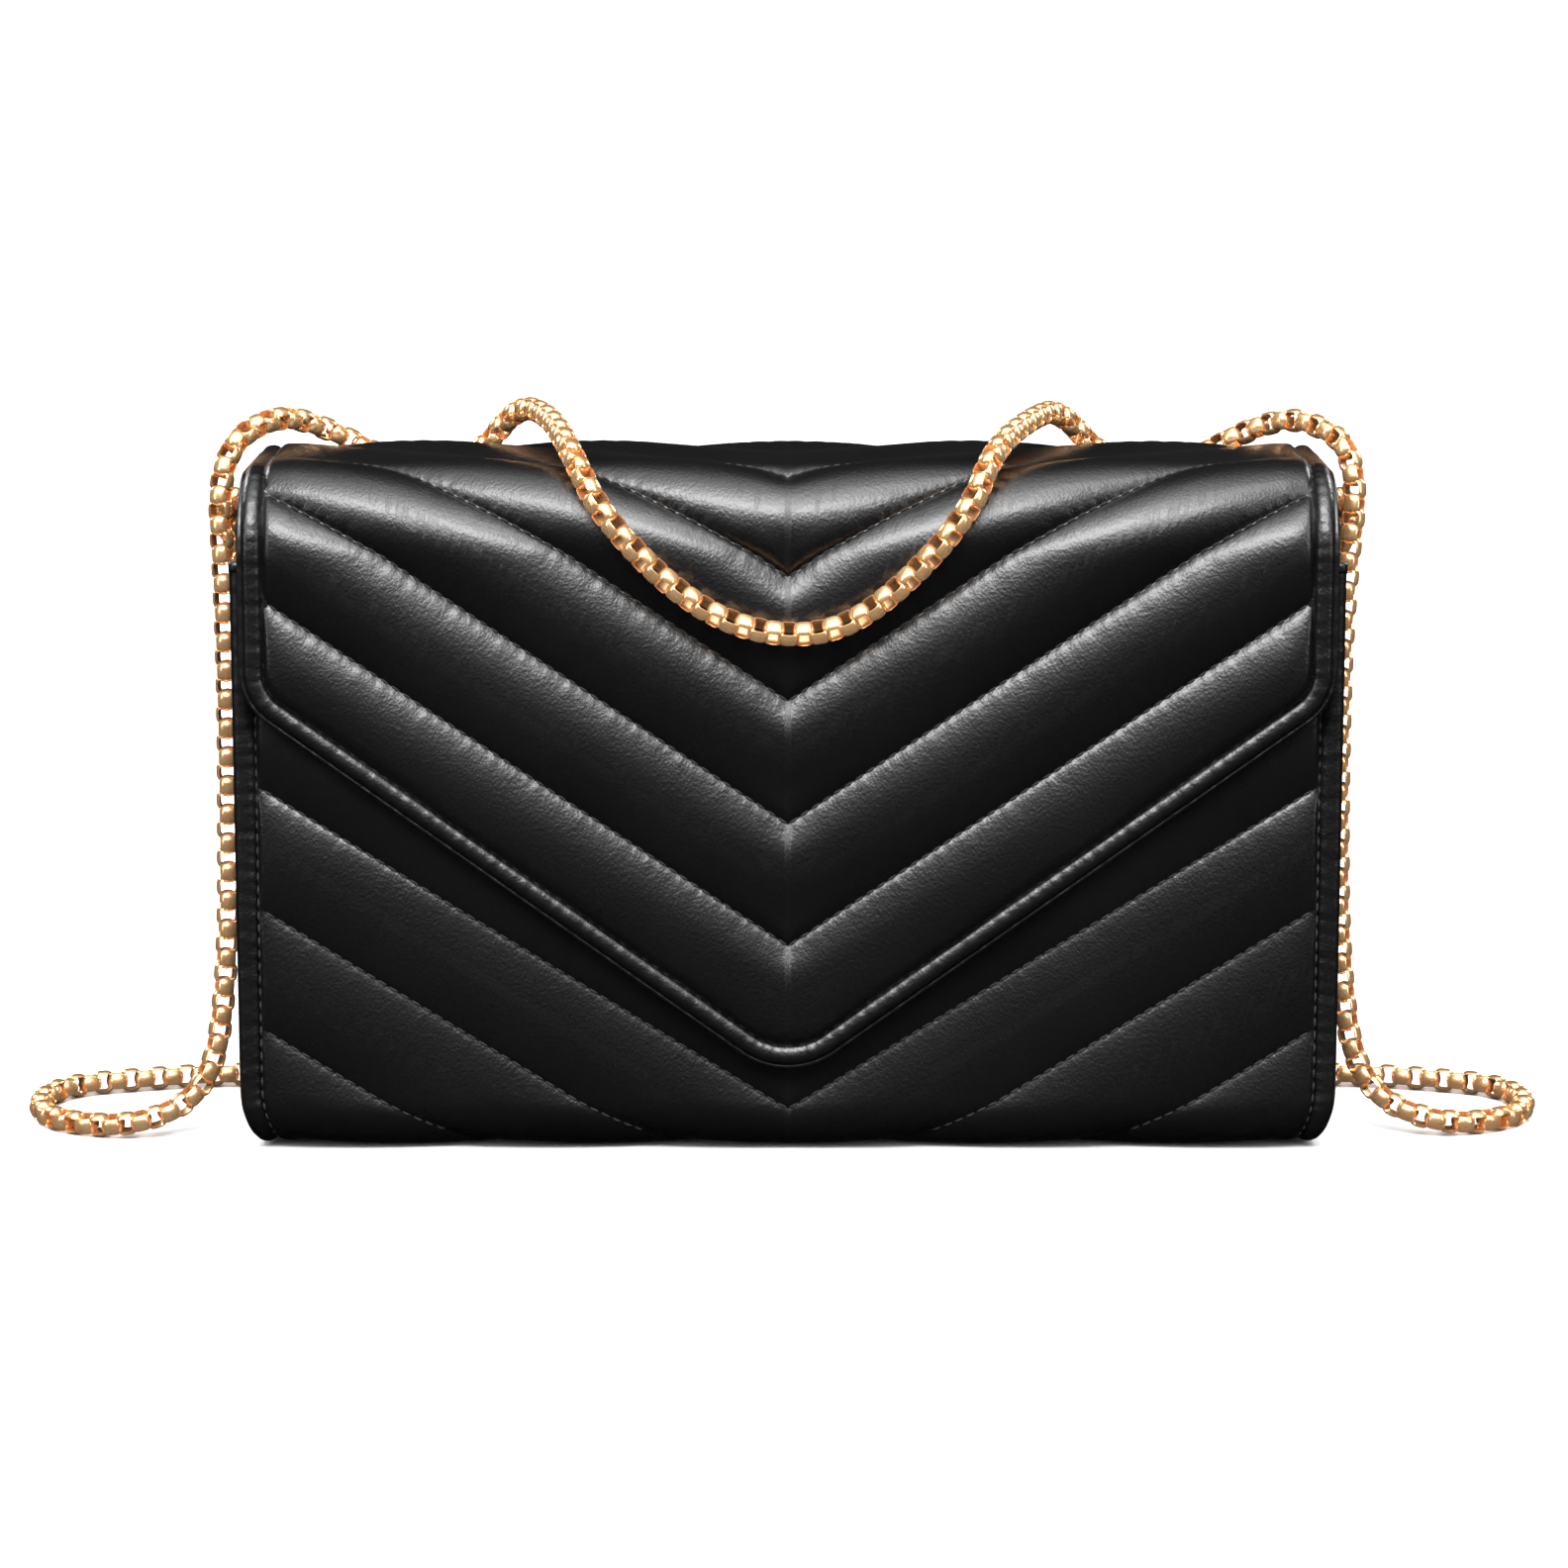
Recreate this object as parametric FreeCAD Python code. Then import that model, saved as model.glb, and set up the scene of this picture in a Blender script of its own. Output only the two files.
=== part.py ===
import FreeCAD, Part
import math
import os

from FreeCAD import Vector

# Crossbody purse with a folded envelope flap, chevron quilting and a round box-chain strap.
# Millimetres. X runs to the wearer's right hand as the bag faces them, Y to the back, Z up.
# The origin is the middle of the base, on the floor.

# body, measured over the leather
HALF_WIDTH = 113.5
FRONT_Y = -22.8
BACK_Y = 27.0
PANEL = 3.5
BOARD = 0.8
LINING = 0.6
BOTTOM_TURN = 11.0
CORNER_TAPER_RISE = 15.0
CORNER_TAPER_IN = 3.0
FRONT_TOP = 122.0
BACK_TOP = 132.0
EDGE_BINDING = 2.0
GUSSET_OUT_X = 112.0
GUSSET = 2.0
GUSSET_TOP = 124.0
LINING_TOP = 121.0

# flap: one length of padded leather that folds over the back edge and the front edge
FLAP_HALF_WIDTH = 111.5
FLAP_SKIN_Y = 28.2
FLAP_TOP_Z = 144.0
FLAP_THICK = 5.0
FLAP_COVER = 3.0
BACK_FOLD_R = 8.0
FRONT_FOLD_R = 18.0
BACK_FOLD_Z = 136.0
FOLD_GAP = 0.35
TAIL_LOW_Z = 104.0
FLAP_EDGE = 1.2
FLAP_CORNER_Z = 95.3
FLAP_TIP_Z = 15.3
FLAP_CORNER_R = 13.0
FLAP_TIP_R = 17.0

# chevron quilting: stitched channels in the padded leather
QUILT_STEP = 25.4
QUILT_HALF_WIDTH = 106.5
FLAP_QUILT_APEX_Z = 45.2
FLAP_QUILT_SLOPE = 0.67
PANEL_QUILT_APEX_Z = 9.5 - 2 * QUILT_STEP
PANEL_QUILT_COUNT = 7
PANEL_QUILT_SLOPE = 0.625
CHANNEL_R = 1.0

# magnetic snap under the flap's point
SNAP_Z = 46.0
SNAP_R = 7.0
SNAP_BOSS_R = 3.0
SNAP_HOLE_R = 3.8

# zip pocket in the back wall of the lining
LINING_FRONT_Y = FRONT_Y + PANEL + BOARD
LINING_BACK_Y = 20.2
ZIP_Z = 97.0
ZIP_HALF = 68.0
ZIP_GAP = 0.8
TOOTH_ROW = 1.8
TOOTH_PITCH = 3.0
TOOTH_FRONT_Y = 19.2
TOOTH_BACK_Y = 20.6
SLIDER_START_X = 58.0
RUN_CLEAR = 0.3

# ring and clasp that hold each end of the strap, inside the gussets
RING_Y = 10.0
RING_BAR_Z = 81.0
RING_BAR_X = 105.8
RING_WIRE_R = 0.9
RING_HALF = 6.0
RING_RISE = 11.0
CLASP_X = 103.5
CLASP_Z = 92.0
CLASP_HALF_THICK = 1.5
GATE_PIVOT = (4.3, 9.6)

# strap: a limp chain, drawn as the round tube that it fills
CHAIN_R = 2.5
CHAIN_ROUTE = [
    (-103.5, 10.0, 112.8),
    (-104.3, 10.5, 130.0),
    (-121.5, 21.0, 133.5),
    (-114.5, 34.5, 110.0),
    (-106.0, 31.8, 76.0),
    (-88.0, 31.8, 40.0),
    (-88.8, 36.0, 2.6),
    (-121.0, 37.5, 2.6),
    (-138.0, 33.5, 2.6),
    (-160.0, 25.5, 2.6),
    (-159.5, -1.0, 2.6),
    (-137.0, -11.0, 2.6),
    (-121.5, -3.0, 9.0),
    (-118.0, 1.5, 34.0),
    (-117.4, 4.5, 74.0),
    (-117.2, 4.0, 112.0),
    (-119.0, 8.0, 142.0),
    (-108.0, 18.0, 150.0),
    (-93.0, 29.0, 146.0),
    (-80.0, 31.5, 139.8),
    (-66.0, 31.0, 140.5),
    (-57.0, 26.0, 151.0),
    (-49.0, 3.0, 151.0),
    (-43.5, -22.5, 146.0),
    (-37.5, -30.9, 134.5),
    (-21.5, -31.1, 118.0),
    (-7.0, -31.1, 110.8),
    (8.5, -31.1, 110.4),
    (21.5, -31.1, 118.5),
    (36.5, -30.9, 135.0),
    (41.5, -22.0, 147.0),
    (50.5, 4.0, 150.5),
    (57.5, 26.0, 150.0),
    (68.0, 31.0, 140.8),
    (81.0, 31.5, 139.6),
    (95.0, 30.0, 146.0),
    (108.5, 21.5, 149.0),
    (119.5, 9.0, 142.5),
    (116.0, 5.5, 112.0),
    (115.8, 6.5, 74.0),
    (116.6, 5.0, 34.0),
    (120.5, 0.0, 9.0),
    (136.5, -9.0, 2.6),
    (157.8, 1.5, 2.6),
    (157.3, 26.0, 2.6),
    (136.5, 34.0, 2.6),
    (120.5, 37.5, 2.6),
    (88.8, 36.0, 2.6),
    (88.0, 31.8, 40.0),
    (106.0, 31.8, 76.0),
    (114.5, 34.5, 110.0),
    (121.5, 21.0, 133.5),
    (104.3, 10.5, 130.0),
    (103.5, 10.0, 112.8),
]
# each piece of the strap turns these corners of the route, from mid-run to mid-run
CHAIN_PIECES = {
    "chain_left": (1, 13),
    "chain_over_left": (14, 22),
    "chain_front": (23, 30),
    "chain_over_right": (31, 39),
    "chain_right": (40, 52),
}

os.makedirs("parts", exist_ok=True)


def save(node, shape):
    """Write one piece, as its own named file."""
    solids = shape.Solids
    if len(solids) != 1 or not shape.isValid():
        print("CHECK", node, "has", len(solids), "solids, valid:", shape.isValid())
    solids[0].exportStep("parts/" + node + ".step")


def box(x_range, y_range, z_range):
    size = [high - low for low, high in (x_range, y_range, z_range)]
    return Part.makeBox(*size, Vector(x_range[0], y_range[0], z_range[0]))


def rod(start, end, radius):
    start = Vector(*start)
    along = Vector(*end) - start
    return Part.makeCylinder(radius, along.Length, start, along)


def joined(shapes):
    return shapes[0].fuse(shapes[1:]).removeSplitter()


def mirrored(shape):
    """The same piece on the bag's other side."""
    return shape.mirror(Vector(0, 0, 0), Vector(1, 0, 0))


def corner_arc(before, at, after, radius):
    """Where an arc leaves one leg of a corner, its middle, and where it meets the other leg."""
    into = (at - before).normalize()
    out = (after - at).normalize()
    half = into.getAngle(out) / 2
    reach = radius * math.tan(half)
    middle = at + (out - into).normalize() * (radius / math.cos(half) - radius)
    return at - into * reach, middle, at + out * reach


def closed_edges(points, radii):
    """A closed outline of straight lines, with each corner rounded by its own radius."""
    stops = []
    for n, at in enumerate(points):
        before, after = points[n - 1], points[(n + 1) % len(points)]
        if radii[n]:
            stops.append(corner_arc(before, at, after, radii[n]))
        else:
            stops.append((at, None, at))
    edges = []
    for n, (start, middle, end) in enumerate(stops):
        if middle:
            edges.append(Part.Arc(start, middle, end).toShape())
        following = stops[(n + 1) % len(stops)][0]
        if (following - end).Length > 1e-4:
            edges.append(Part.makeLine(end, following))
    return edges


def across(section, radii, half_width):
    """A (y, z) section carried across the bag from side to side."""
    points = [Vector(-half_width, y, z) for y, z in section]
    face = Part.Face(Part.Wire(closed_edges(points, radii)))
    return face.extrude(Vector(2 * half_width, 0, 0))


def through(outline, radii, y_range):
    """An (x, z) outline carried through a depth."""
    points = [Vector(x, y_range[0], z) for x, z in outline]
    face = Part.Face(Part.Wire(closed_edges(points, radii)))
    return face.extrude(Vector(0, y_range[1] - y_range[0], 0))


def chevrons(face_y, lowest_z, count, slope):
    """Cutters for the stitched channels: nested Vs with their points down."""
    cutters = []
    for n in range(count):
        apex = (0, face_y, lowest_z + n * QUILT_STEP)
        for side in (-1, 1):
            arm = (side * QUILT_HALF_WIDTH, face_y, apex[2] + slope * QUILT_HALF_WIDTH)
            cutters.append(rod(apex, arm, CHANNEL_R))
    return cutters


# ---- body ----

def body_layer(outer, inner):
    """A U-shaped layer between two depths under the outer leather: front, base and back."""
    top = 160
    section = [
        (FRONT_Y + outer, top), (FRONT_Y + outer, outer), (BACK_Y - outer, outer), (BACK_Y - outer, top),
        (BACK_Y - inner, top), (BACK_Y - inner, inner), (FRONT_Y + inner, inner), (FRONT_Y + inner, top),
    ]
    radii = [0, BOTTOM_TURN - outer, BOTTOM_TURN - outer, 0, 0, BOTTOM_TURN - inner, BOTTOM_TURN - inner, 0]
    return across(section, radii, HALF_WIDTH)


def body_outline():
    """The body seen from the front: upright sides that draw in a little at the bottom corners."""
    radius = (CORNER_TAPER_RISE**2 + CORNER_TAPER_IN**2) / (2 * CORNER_TAPER_IN)
    half_turn = math.asin(CORNER_TAPER_RISE / radius) / 2
    centre_x = HALF_WIDTH - radius
    mid_x = centre_x + radius * math.cos(half_turn)
    mid_z = CORNER_TAPER_RISE - radius * math.sin(half_turn)
    low_x = HALF_WIDTH - CORNER_TAPER_IN

    def at(x, z):
        return Vector(x, -60, z)

    edges = [
        Part.makeLine(at(HALF_WIDTH, 160), at(HALF_WIDTH, CORNER_TAPER_RISE)),
        Part.Arc(at(HALF_WIDTH, CORNER_TAPER_RISE), at(mid_x, mid_z), at(low_x, 0)).toShape(),
        Part.makeLine(at(low_x, 0), at(-low_x, 0)),
        Part.Arc(at(-low_x, 0), at(-mid_x, mid_z), at(-HALF_WIDTH, CORNER_TAPER_RISE)).toShape(),
        Part.makeLine(at(-HALF_WIDTH, CORNER_TAPER_RISE), at(-HALF_WIDTH, 160)),
        Part.makeLine(at(-HALF_WIDTH, 160), at(HALF_WIDTH, 160)),
    ]
    return Part.Face(Part.Wire(edges)).extrude(Vector(0, 120, 0))


wide = (-HALF_WIDTH, HALF_WIDTH)
base_y = (FRONT_Y + BOTTOM_TURN, BACK_Y - BOTTOM_TURN)
shell = body_layer(0, PANEL).common(body_outline())
front_panel = shell.common(box(wide, (FRONT_Y, base_y[0]), (0, FRONT_TOP)))
back_panel = shell.common(box(wide, (base_y[1], BACK_Y), (0, BACK_TOP)))
base_panel = shell.common(box(wide, base_y, (0, PANEL)))

socket_seat = rod((0, FRONT_Y, SNAP_Z), (0, FRONT_Y + 3.0, SNAP_Z), SNAP_R)
panel_quilting = (PANEL_QUILT_APEX_Z, PANEL_QUILT_COUNT, PANEL_QUILT_SLOPE)
front_panel = front_panel.cut([socket_seat] + chevrons(FRONT_Y, *panel_quilting))
back_panel = back_panel.cut(chevrons(BACK_Y, *panel_quilting))
save("front_panel", front_panel)
save("back_panel", back_panel)
save("base_panel", base_panel)

board_x = (-GUSSET_OUT_X + GUSSET, GUSSET_OUT_X - GUSSET)
inside_front = FRONT_Y + PANEL
inside_back = BACK_Y - PANEL
save("front_board", box(board_x, (inside_front, inside_front + BOARD), (BOTTOM_TURN, FRONT_TOP)))
save("back_board", box(board_x, (inside_back - BOARD, inside_back), (BOTTOM_TURN, BACK_TOP)))
save("base_board", box((-108, 108), base_y, (PANEL, PANEL + BOARD)))

save("front_top_binding", box(wide, (FRONT_Y, LINING_FRONT_Y + LINING), (FRONT_TOP, FRONT_TOP + EDGE_BINDING)))
save("back_top_binding", box(wide, (LINING_BACK_Y - LINING, BACK_Y), (BACK_TOP, BACK_TOP + EDGE_BINDING)))
save("back_facing", box(board_x, (LINING_BACK_Y - LINING, inside_back - BOARD), (LINING_TOP, BACK_TOP)))

# gusset: its lower corners follow the turn of the panels
gusset_section = [
    (inside_front, GUSSET_TOP), (inside_front, PANEL), (inside_back, PANEL), (inside_back, GUSSET_TOP),
]
turn = BOTTOM_TURN - PANEL
gusset = across(gusset_section, [0, turn, turn, 0], GUSSET_OUT_X)
gusset = gusset.common(box((GUSSET_OUT_X - GUSSET, GUSSET_OUT_X), (-60, 60), (0, 160)))
gusset = gusset.common(body_outline())
binding_x = (GUSSET_OUT_X - GUSSET - LINING, GUSSET_OUT_X)
gusset_binding = box(binding_x, (LINING_FRONT_Y + LINING, LINING_BACK_Y - LINING),
                     (GUSSET_TOP, GUSSET_TOP + EDGE_BINDING))
gusset = gusset.cut(box((0, 120), (inside_front, FRONT_Y + 5.3), (FRONT_TOP, 130)))
save("gusset_right", gusset)
save("gusset_left", mirrored(gusset))
save("gusset_binding_right", gusset_binding)
save("gusset_binding_left", mirrored(gusset_binding))


# ---- lining, slip pocket and zip pocket ----

def lining_solid(inset, top):
    floor = PANEL + BOARD + inset
    front, back = LINING_FRONT_Y + inset, LINING_BACK_Y - inset
    section = [(front, top), (front, floor), (back, floor), (back, top)]
    radius = turn - BOARD - inset
    return across(section, [0, radius, radius, 0], board_x[1] - inset)


zip_window = box((-ZIP_HALF, ZIP_HALF), (LINING_BACK_Y - 5, LINING_BACK_Y + 0.4), (ZIP_Z - 7, ZIP_Z + 7))
lining_window = box((-ZIP_HALF, ZIP_HALF), (LINING_BACK_Y - 5, LINING_BACK_Y + 0.4), (ZIP_Z - 5, ZIP_Z + 5))
lining = lining_solid(0, LINING_TOP).cut([lining_solid(LINING, LINING_TOP + 5), lining_window])
save("lining", lining)

slip_back = LINING_FRONT_Y + LINING
slip = box((-45, 45), (slip_back, slip_back + 1.6), (40, 95))
save("slip_pocket", slip.cut(box((-44.2, 44.2), (slip_back, slip_back + 1.0), (40.8, 100))))

pouch_y = (LINING_BACK_Y, inside_back - BOARD)
pouch = box((-74, 74), pouch_y, (30, 108))
pouch = pouch.cut([box((-73.6, 73.6), (pouch_y[0] + 0.4, pouch_y[1] - 0.4), (30.4, 107.6)), zip_window])
save("zip_pouch", pouch)

row_low = ZIP_Z + ZIP_GAP
row_high = row_low + TOOTH_ROW
tape_y = (LINING_BACK_Y, LINING_BACK_Y + 0.4)


def tooth_row():
    """One side of the zip: a cord with a tooth on it at every pitch."""
    cord = box((-63, 63), (TOOTH_FRONT_Y + 0.2, TOOTH_BACK_Y - 0.2), (row_high - 0.9, row_high))
    count = int(126 / TOOTH_PITCH)
    teeth = []
    for n in range(count):
        x = -63 + n * TOOTH_PITCH + 0.5
        teeth.append(box((x, x + 1.6), (TOOTH_FRONT_Y, TOOTH_BACK_Y), (row_low, row_high)))
    return joined([cord] + teeth)


def other_row(shape):
    """The same piece on the zip's other side."""
    return shape.mirror(Vector(0, 0, ZIP_Z), Vector(0, 0, 1))


upper_teeth = tooth_row()
upper_tape = box((-ZIP_HALF, ZIP_HALF), tape_y, (row_high, ZIP_Z + 7))
save("zip_teeth_upper", upper_teeth)
save("zip_teeth_lower", other_row(upper_teeth))
save("zip_tape_upper", upper_tape)
save("zip_tape_lower", other_row(upper_tape))
stop = box((64, 66), (TOOTH_FRONT_Y, TOOTH_BACK_Y), (ZIP_Z - row_high + ZIP_Z, row_high))
save("zip_stop_right", stop)
save("zip_stop_left", mirrored(stop))

plate_y = (TOOTH_FRONT_Y - RUN_CLEAR - 1.0, TOOTH_FRONT_Y - RUN_CLEAR)
back_plate_y = (TOOTH_BACK_Y + RUN_CLEAR, TOOTH_BACK_Y + RUN_CLEAR + 0.7)
slider_x = (SLIDER_START_X - 4.5, SLIDER_START_X + 4.5)
slider_half = row_high - ZIP_Z + RUN_CLEAR + 1.0
slider_z = (ZIP_Z - slider_half, ZIP_Z + slider_half)
bar_y = plate_y[0] - 2.0
bridge_legs = [
    box((x - 0.4, x + 0.4), (bar_y, plate_y[0] + 0.2), (ZIP_Z - 0.4, ZIP_Z + 0.4))
    for x in (SLIDER_START_X - 3.7, SLIDER_START_X + 3.7)
]
slider = joined([
    box(slider_x, plate_y, slider_z),
    box(slider_x, back_plate_y, (ZIP_Z - 3.9, ZIP_Z + 3.9)),
    box((SLIDER_START_X + 1.0, SLIDER_START_X + 4.0), (plate_y[1] - 0.1, back_plate_y[0] + 0.1),
        (ZIP_Z - 0.5, ZIP_Z + 0.5)),
    box(slider_x, (plate_y[1] - 0.1, plate_y[1] + 0.7), (slider_z[1] - 1.0, slider_z[1])),
    box(slider_x, (plate_y[1] - 0.1, plate_y[1] + 0.7), (slider_z[0], slider_z[0] + 1.0)),
    rod((SLIDER_START_X - 4.2, bar_y, ZIP_Z), (SLIDER_START_X + 4.2, bar_y, ZIP_Z), 0.6),
] + bridge_legs)
save("zip_slider", slider)

pull_y = plate_y[0] - 0.7
pull_left, pull_right = SLIDER_START_X - 2.2, SLIDER_START_X + 2.2
plate = through(
    [(pull_left - 0.4, ZIP_Z - 19), (pull_right + 0.4, ZIP_Z - 19),
     (pull_right + 0.4, ZIP_Z - 3.2), (pull_left - 0.4, ZIP_Z - 3.2)],
    [2.0, 2.0, 0.3, 0.3], (pull_y - 0.45, pull_y + 0.45))
plate = plate.cut(rod((SLIDER_START_X, pull_y - 2, ZIP_Z - 16), (SLIDER_START_X, pull_y + 2, ZIP_Z - 16), 1.0))
puller = joined([
    plate,
    rod((pull_left - 0.4, pull_y, ZIP_Z), (pull_right + 0.4, pull_y, ZIP_Z), 0.4),
    rod((pull_left, pull_y, ZIP_Z), (pull_left, pull_y, ZIP_Z - 3.5), 0.4),
    rod((pull_right, pull_y, ZIP_Z), (pull_right, pull_y, ZIP_Z - 3.5), 0.4),
])
save("zip_puller", puller)


# ---- flap ----

def flap_layer(outer, inner, half_width, low_z):
    """A layer of the folded flap between two depths under its skin: back fold, top and front leaf."""
    section = [
        (FLAP_SKIN_Y - outer, BACK_FOLD_Z), (FLAP_SKIN_Y - outer, FLAP_TOP_Z - outer),
        (-FLAP_SKIN_Y + outer, FLAP_TOP_Z - outer), (-FLAP_SKIN_Y + outer, low_z),
        (-FLAP_SKIN_Y + inner, low_z), (-FLAP_SKIN_Y + inner, FLAP_TOP_Z - inner),
        (FLAP_SKIN_Y - inner, FLAP_TOP_Z - inner), (FLAP_SKIN_Y - inner, BACK_FOLD_Z),
    ]
    radii = [
        0, BACK_FOLD_R - outer, FRONT_FOLD_R - outer, 0, 0, FRONT_FOLD_R - inner, BACK_FOLD_R - inner, 0,
    ]
    return across(section, radii, half_width)


fold_centre = Vector(0, -FLAP_SKIN_Y + FRONT_FOLD_R, FLAP_TOP_Z - FRONT_FOLD_R)
fold_hinge = fold_centre + Vector(0, -FRONT_FOLD_R, FRONT_FOLD_R) * math.sqrt(0.5)
print("front fold hinge", [round(v, 3) for v in fold_hinge])


def fold_side(top_side):
    """Everything on one side of the plane that halves the front fold."""
    space = box((-200, 200), (-200, 200), (0, 300))
    space.translate(Vector(0, 0, FOLD_GAP / 2))
    if not top_side:
        space.rotate(Vector(0, 0, 0), Vector(1, 0, 0), 180)
    space.rotate(Vector(0, 0, 0), Vector(1, 0, 0), -45)
    space.translate(fold_hinge)
    return space


def leaf_outline(inset, y_range):
    """The front leaf: upright sides, two rounded corners and a rounded point."""
    slope = (FLAP_CORNER_Z - FLAP_TIP_Z) / FLAP_HALF_WIDTH
    rise = inset * math.sqrt(1 + slope**2)
    half = FLAP_HALF_WIDTH - inset
    tip = FLAP_TIP_Z + rise
    corner = tip + half * slope
    outline = [(-half, 170), (-half, corner), (0, tip), (half, corner), (half, 170)]
    return through(outline, [0, FLAP_CORNER_R - inset, FLAP_TIP_R - inset, FLAP_CORNER_R - inset, 0], y_range)


inner_leaf = leaf_outline(FLAP_EDGE, (-60, 60))
outer_leaf = leaf_outline(0, (-60, 60))
front_side = fold_side(False)
back_side = fold_side(True)
top_half = FLAP_HALF_WIDTH - FLAP_EDGE
layers = {"cover": (0, FLAP_COVER), "board": (FLAP_COVER, FLAP_COVER + BOARD),
          "lining": (FLAP_COVER + BOARD, FLAP_THICK)}

leaf_seat = {
    "cover": [],
    "board": [rod((0, -40, SNAP_Z), (0, 0, SNAP_Z), SNAP_R + 0.5)],
    "lining": [rod((0, -40, SNAP_Z), (0, 0, SNAP_Z), SNAP_R)],
}
flap_channels = chevrons(-FLAP_SKIN_Y, FLAP_QUILT_APEX_Z, 4, FLAP_QUILT_SLOPE)
for layer, (outer, inner) in layers.items():
    whole = flap_layer(outer, inner, FLAP_HALF_WIDTH, 0)
    leaf = whole.common(inner_leaf).common(front_side)
    cutters = leaf_seat[layer] + (flap_channels if layer == "cover" else [])
    if cutters:
        leaf = leaf.cut(cutters)
    save("flap_leaf_" + layer, leaf)
    top = whole.common(box((-top_half, top_half), (-60, 60), (100, 160))).common(back_side)
    save("flap_top_" + layer, top)

full = flap_layer(0, FLAP_THICK, FLAP_HALF_WIDTH, 0)
save("flap_leaf_binding", full.common(outer_leaf).cut(inner_leaf).common(front_side))
right_edge = full.common(box((top_half, FLAP_HALF_WIDTH), (-60, 60), (100, 160))).common(back_side)
save("flap_top_binding_right", right_edge)
save("flap_top_binding_left", mirrored(right_edge))
save("flap_tail", box((-FLAP_HALF_WIDTH, FLAP_HALF_WIDTH), (BACK_Y, FLAP_SKIN_Y),
                      (TAIL_LOW_Z, BACK_FOLD_Z - FOLD_GAP)))

# magnetic snap: the stud's boss sits loosely in the socket's hole
socket = rod((0, FRONT_Y, SNAP_Z), (0, FRONT_Y + 2.2, SNAP_Z), SNAP_R)
save("snap_socket", socket.cut(rod((0, FRONT_Y, SNAP_Z), (0, FRONT_Y + 1.2, SNAP_Z), SNAP_HOLE_R)))
save("snap_socket_backplate", rod((0, FRONT_Y + 2.2, SNAP_Z), (0, FRONT_Y + 3.0, SNAP_Z), SNAP_R))
leaf_inside = -FLAP_SKIN_Y + FLAP_THICK
stud_back = -FLAP_SKIN_Y + FLAP_COVER + BOARD
save("snap_stud", joined([
    rod((0, stud_back, SNAP_Z), (0, leaf_inside, SNAP_Z), SNAP_R),
    rod((0, stud_back, SNAP_Z), (0, leaf_inside + 1.0, SNAP_Z), SNAP_BOSS_R),
]))
save("snap_stud_backplate", rod((0, stud_back - BOARD, SNAP_Z), (0, stud_back, SNAP_Z), SNAP_R + 0.5))


# ---- ring, tab and clasp at each end of the strap (drawn for the right side) ----

def ring_wire():
    low, high = RING_BAR_Z, RING_BAR_Z + RING_RISE
    near, far = RING_Y - RING_HALF, RING_Y + RING_HALF
    corners = [Vector(RING_BAR_X, y, z) for y, z in ((near, low), (far, low), (far, high), (near, high))]
    edges = closed_edges(corners, [1.5, 1.5, RING_HALF, RING_HALF])
    line = edges[1]
    start = line.valueAt(line.FirstParameter)
    circle = Part.makeCircle(RING_WIRE_R, start, line.tangentAt(line.FirstParameter))
    wire = Part.Wire(edges[1:] + edges[:1])
    return wire.makePipeShell([Part.Wire(circle)], True, False)


save("dring_right", ring_wire())
save("dring_left", mirrored(ring_wire()))

wall_x = GUSSET_OUT_X - GUSSET - LINING
loop = rod((RING_BAR_X, RING_Y - 4, RING_BAR_Z), (RING_BAR_X, RING_Y + 4, RING_BAR_Z), RING_WIRE_R + 1.4)
tab_plate = box((wall_x - 1.5, wall_x), (RING_Y - 6, RING_Y + 6), (64, RING_BAR_Z))
tab_top = box((wall_x - 1.5, wall_x), (RING_Y - 4, RING_Y + 4), (RING_BAR_Z - 3, RING_BAR_Z + 1))
tab = joined([loop, tab_plate.cut(box((90, 120), (RING_Y - 7, RING_Y + 7), (RING_BAR_Z - 3, 90))), tab_top])
tab = tab.cut(rod((RING_BAR_X, 0, RING_BAR_Z), (RING_BAR_X, 20, RING_BAR_Z), RING_WIRE_R + 0.4))
save("dring_tab_right", tab)
save("dring_tab_left", mirrored(tab))

clasp_y = (RING_Y - CLASP_HALF_THICK, RING_Y + CLASP_HALF_THICK)
slot_y = (RING_Y - 0.9, RING_Y + 0.9)
gate_y = (RING_Y - 0.6, RING_Y + 0.6)


def clasp_x(u):
    """X of a point u millimetres from the clasp's middle, towards the middle of the bag."""
    return CLASP_X - u


def clasp_outline(points, radii, y_range):
    return through([(clasp_x(u), CLASP_Z + w) for u, w in points], radii, y_range)


pivot_x, pivot_z = clasp_x(GATE_PIVOT[0]), CLASP_Z + GATE_PIVOT[1]
hook = clasp_outline([(-5.5, -5.5), (5.5, -5.5), (5.5, 15), (-5.5, 15)], [5.4, 5.4, 4, 4], clasp_y)
opening = clasp_outline([(-3.5, -3.5), (3.5, -3.5), (3.5, 8), (-3.5, 8)], [3.4, 3.4, 1, 1], (0, 20))
gate_gap = box((clasp_x(5.7), clasp_x(3.4)), (0, 20), (CLASP_Z + 2.2, CLASP_Z + 9.0))
knuckle_slot = box((clasp_x(5.7), clasp_x(2.0)), slot_y, (CLASP_Z + 6.5, CLASP_Z + 11.3))
neck = rod((CLASP_X, RING_Y, CLASP_Z + 14.5), (CLASP_X, RING_Y, CLASP_Z + 17.0), 1.1)
pin = rod((pivot_x, clasp_y[0], pivot_z), (pivot_x, clasp_y[1], pivot_z), 0.45)
clasp = joined([hook.cut([opening, gate_gap, knuckle_slot]), neck, pin])
save("clasp_right", clasp)
save("clasp_left", mirrored(clasp))

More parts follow.
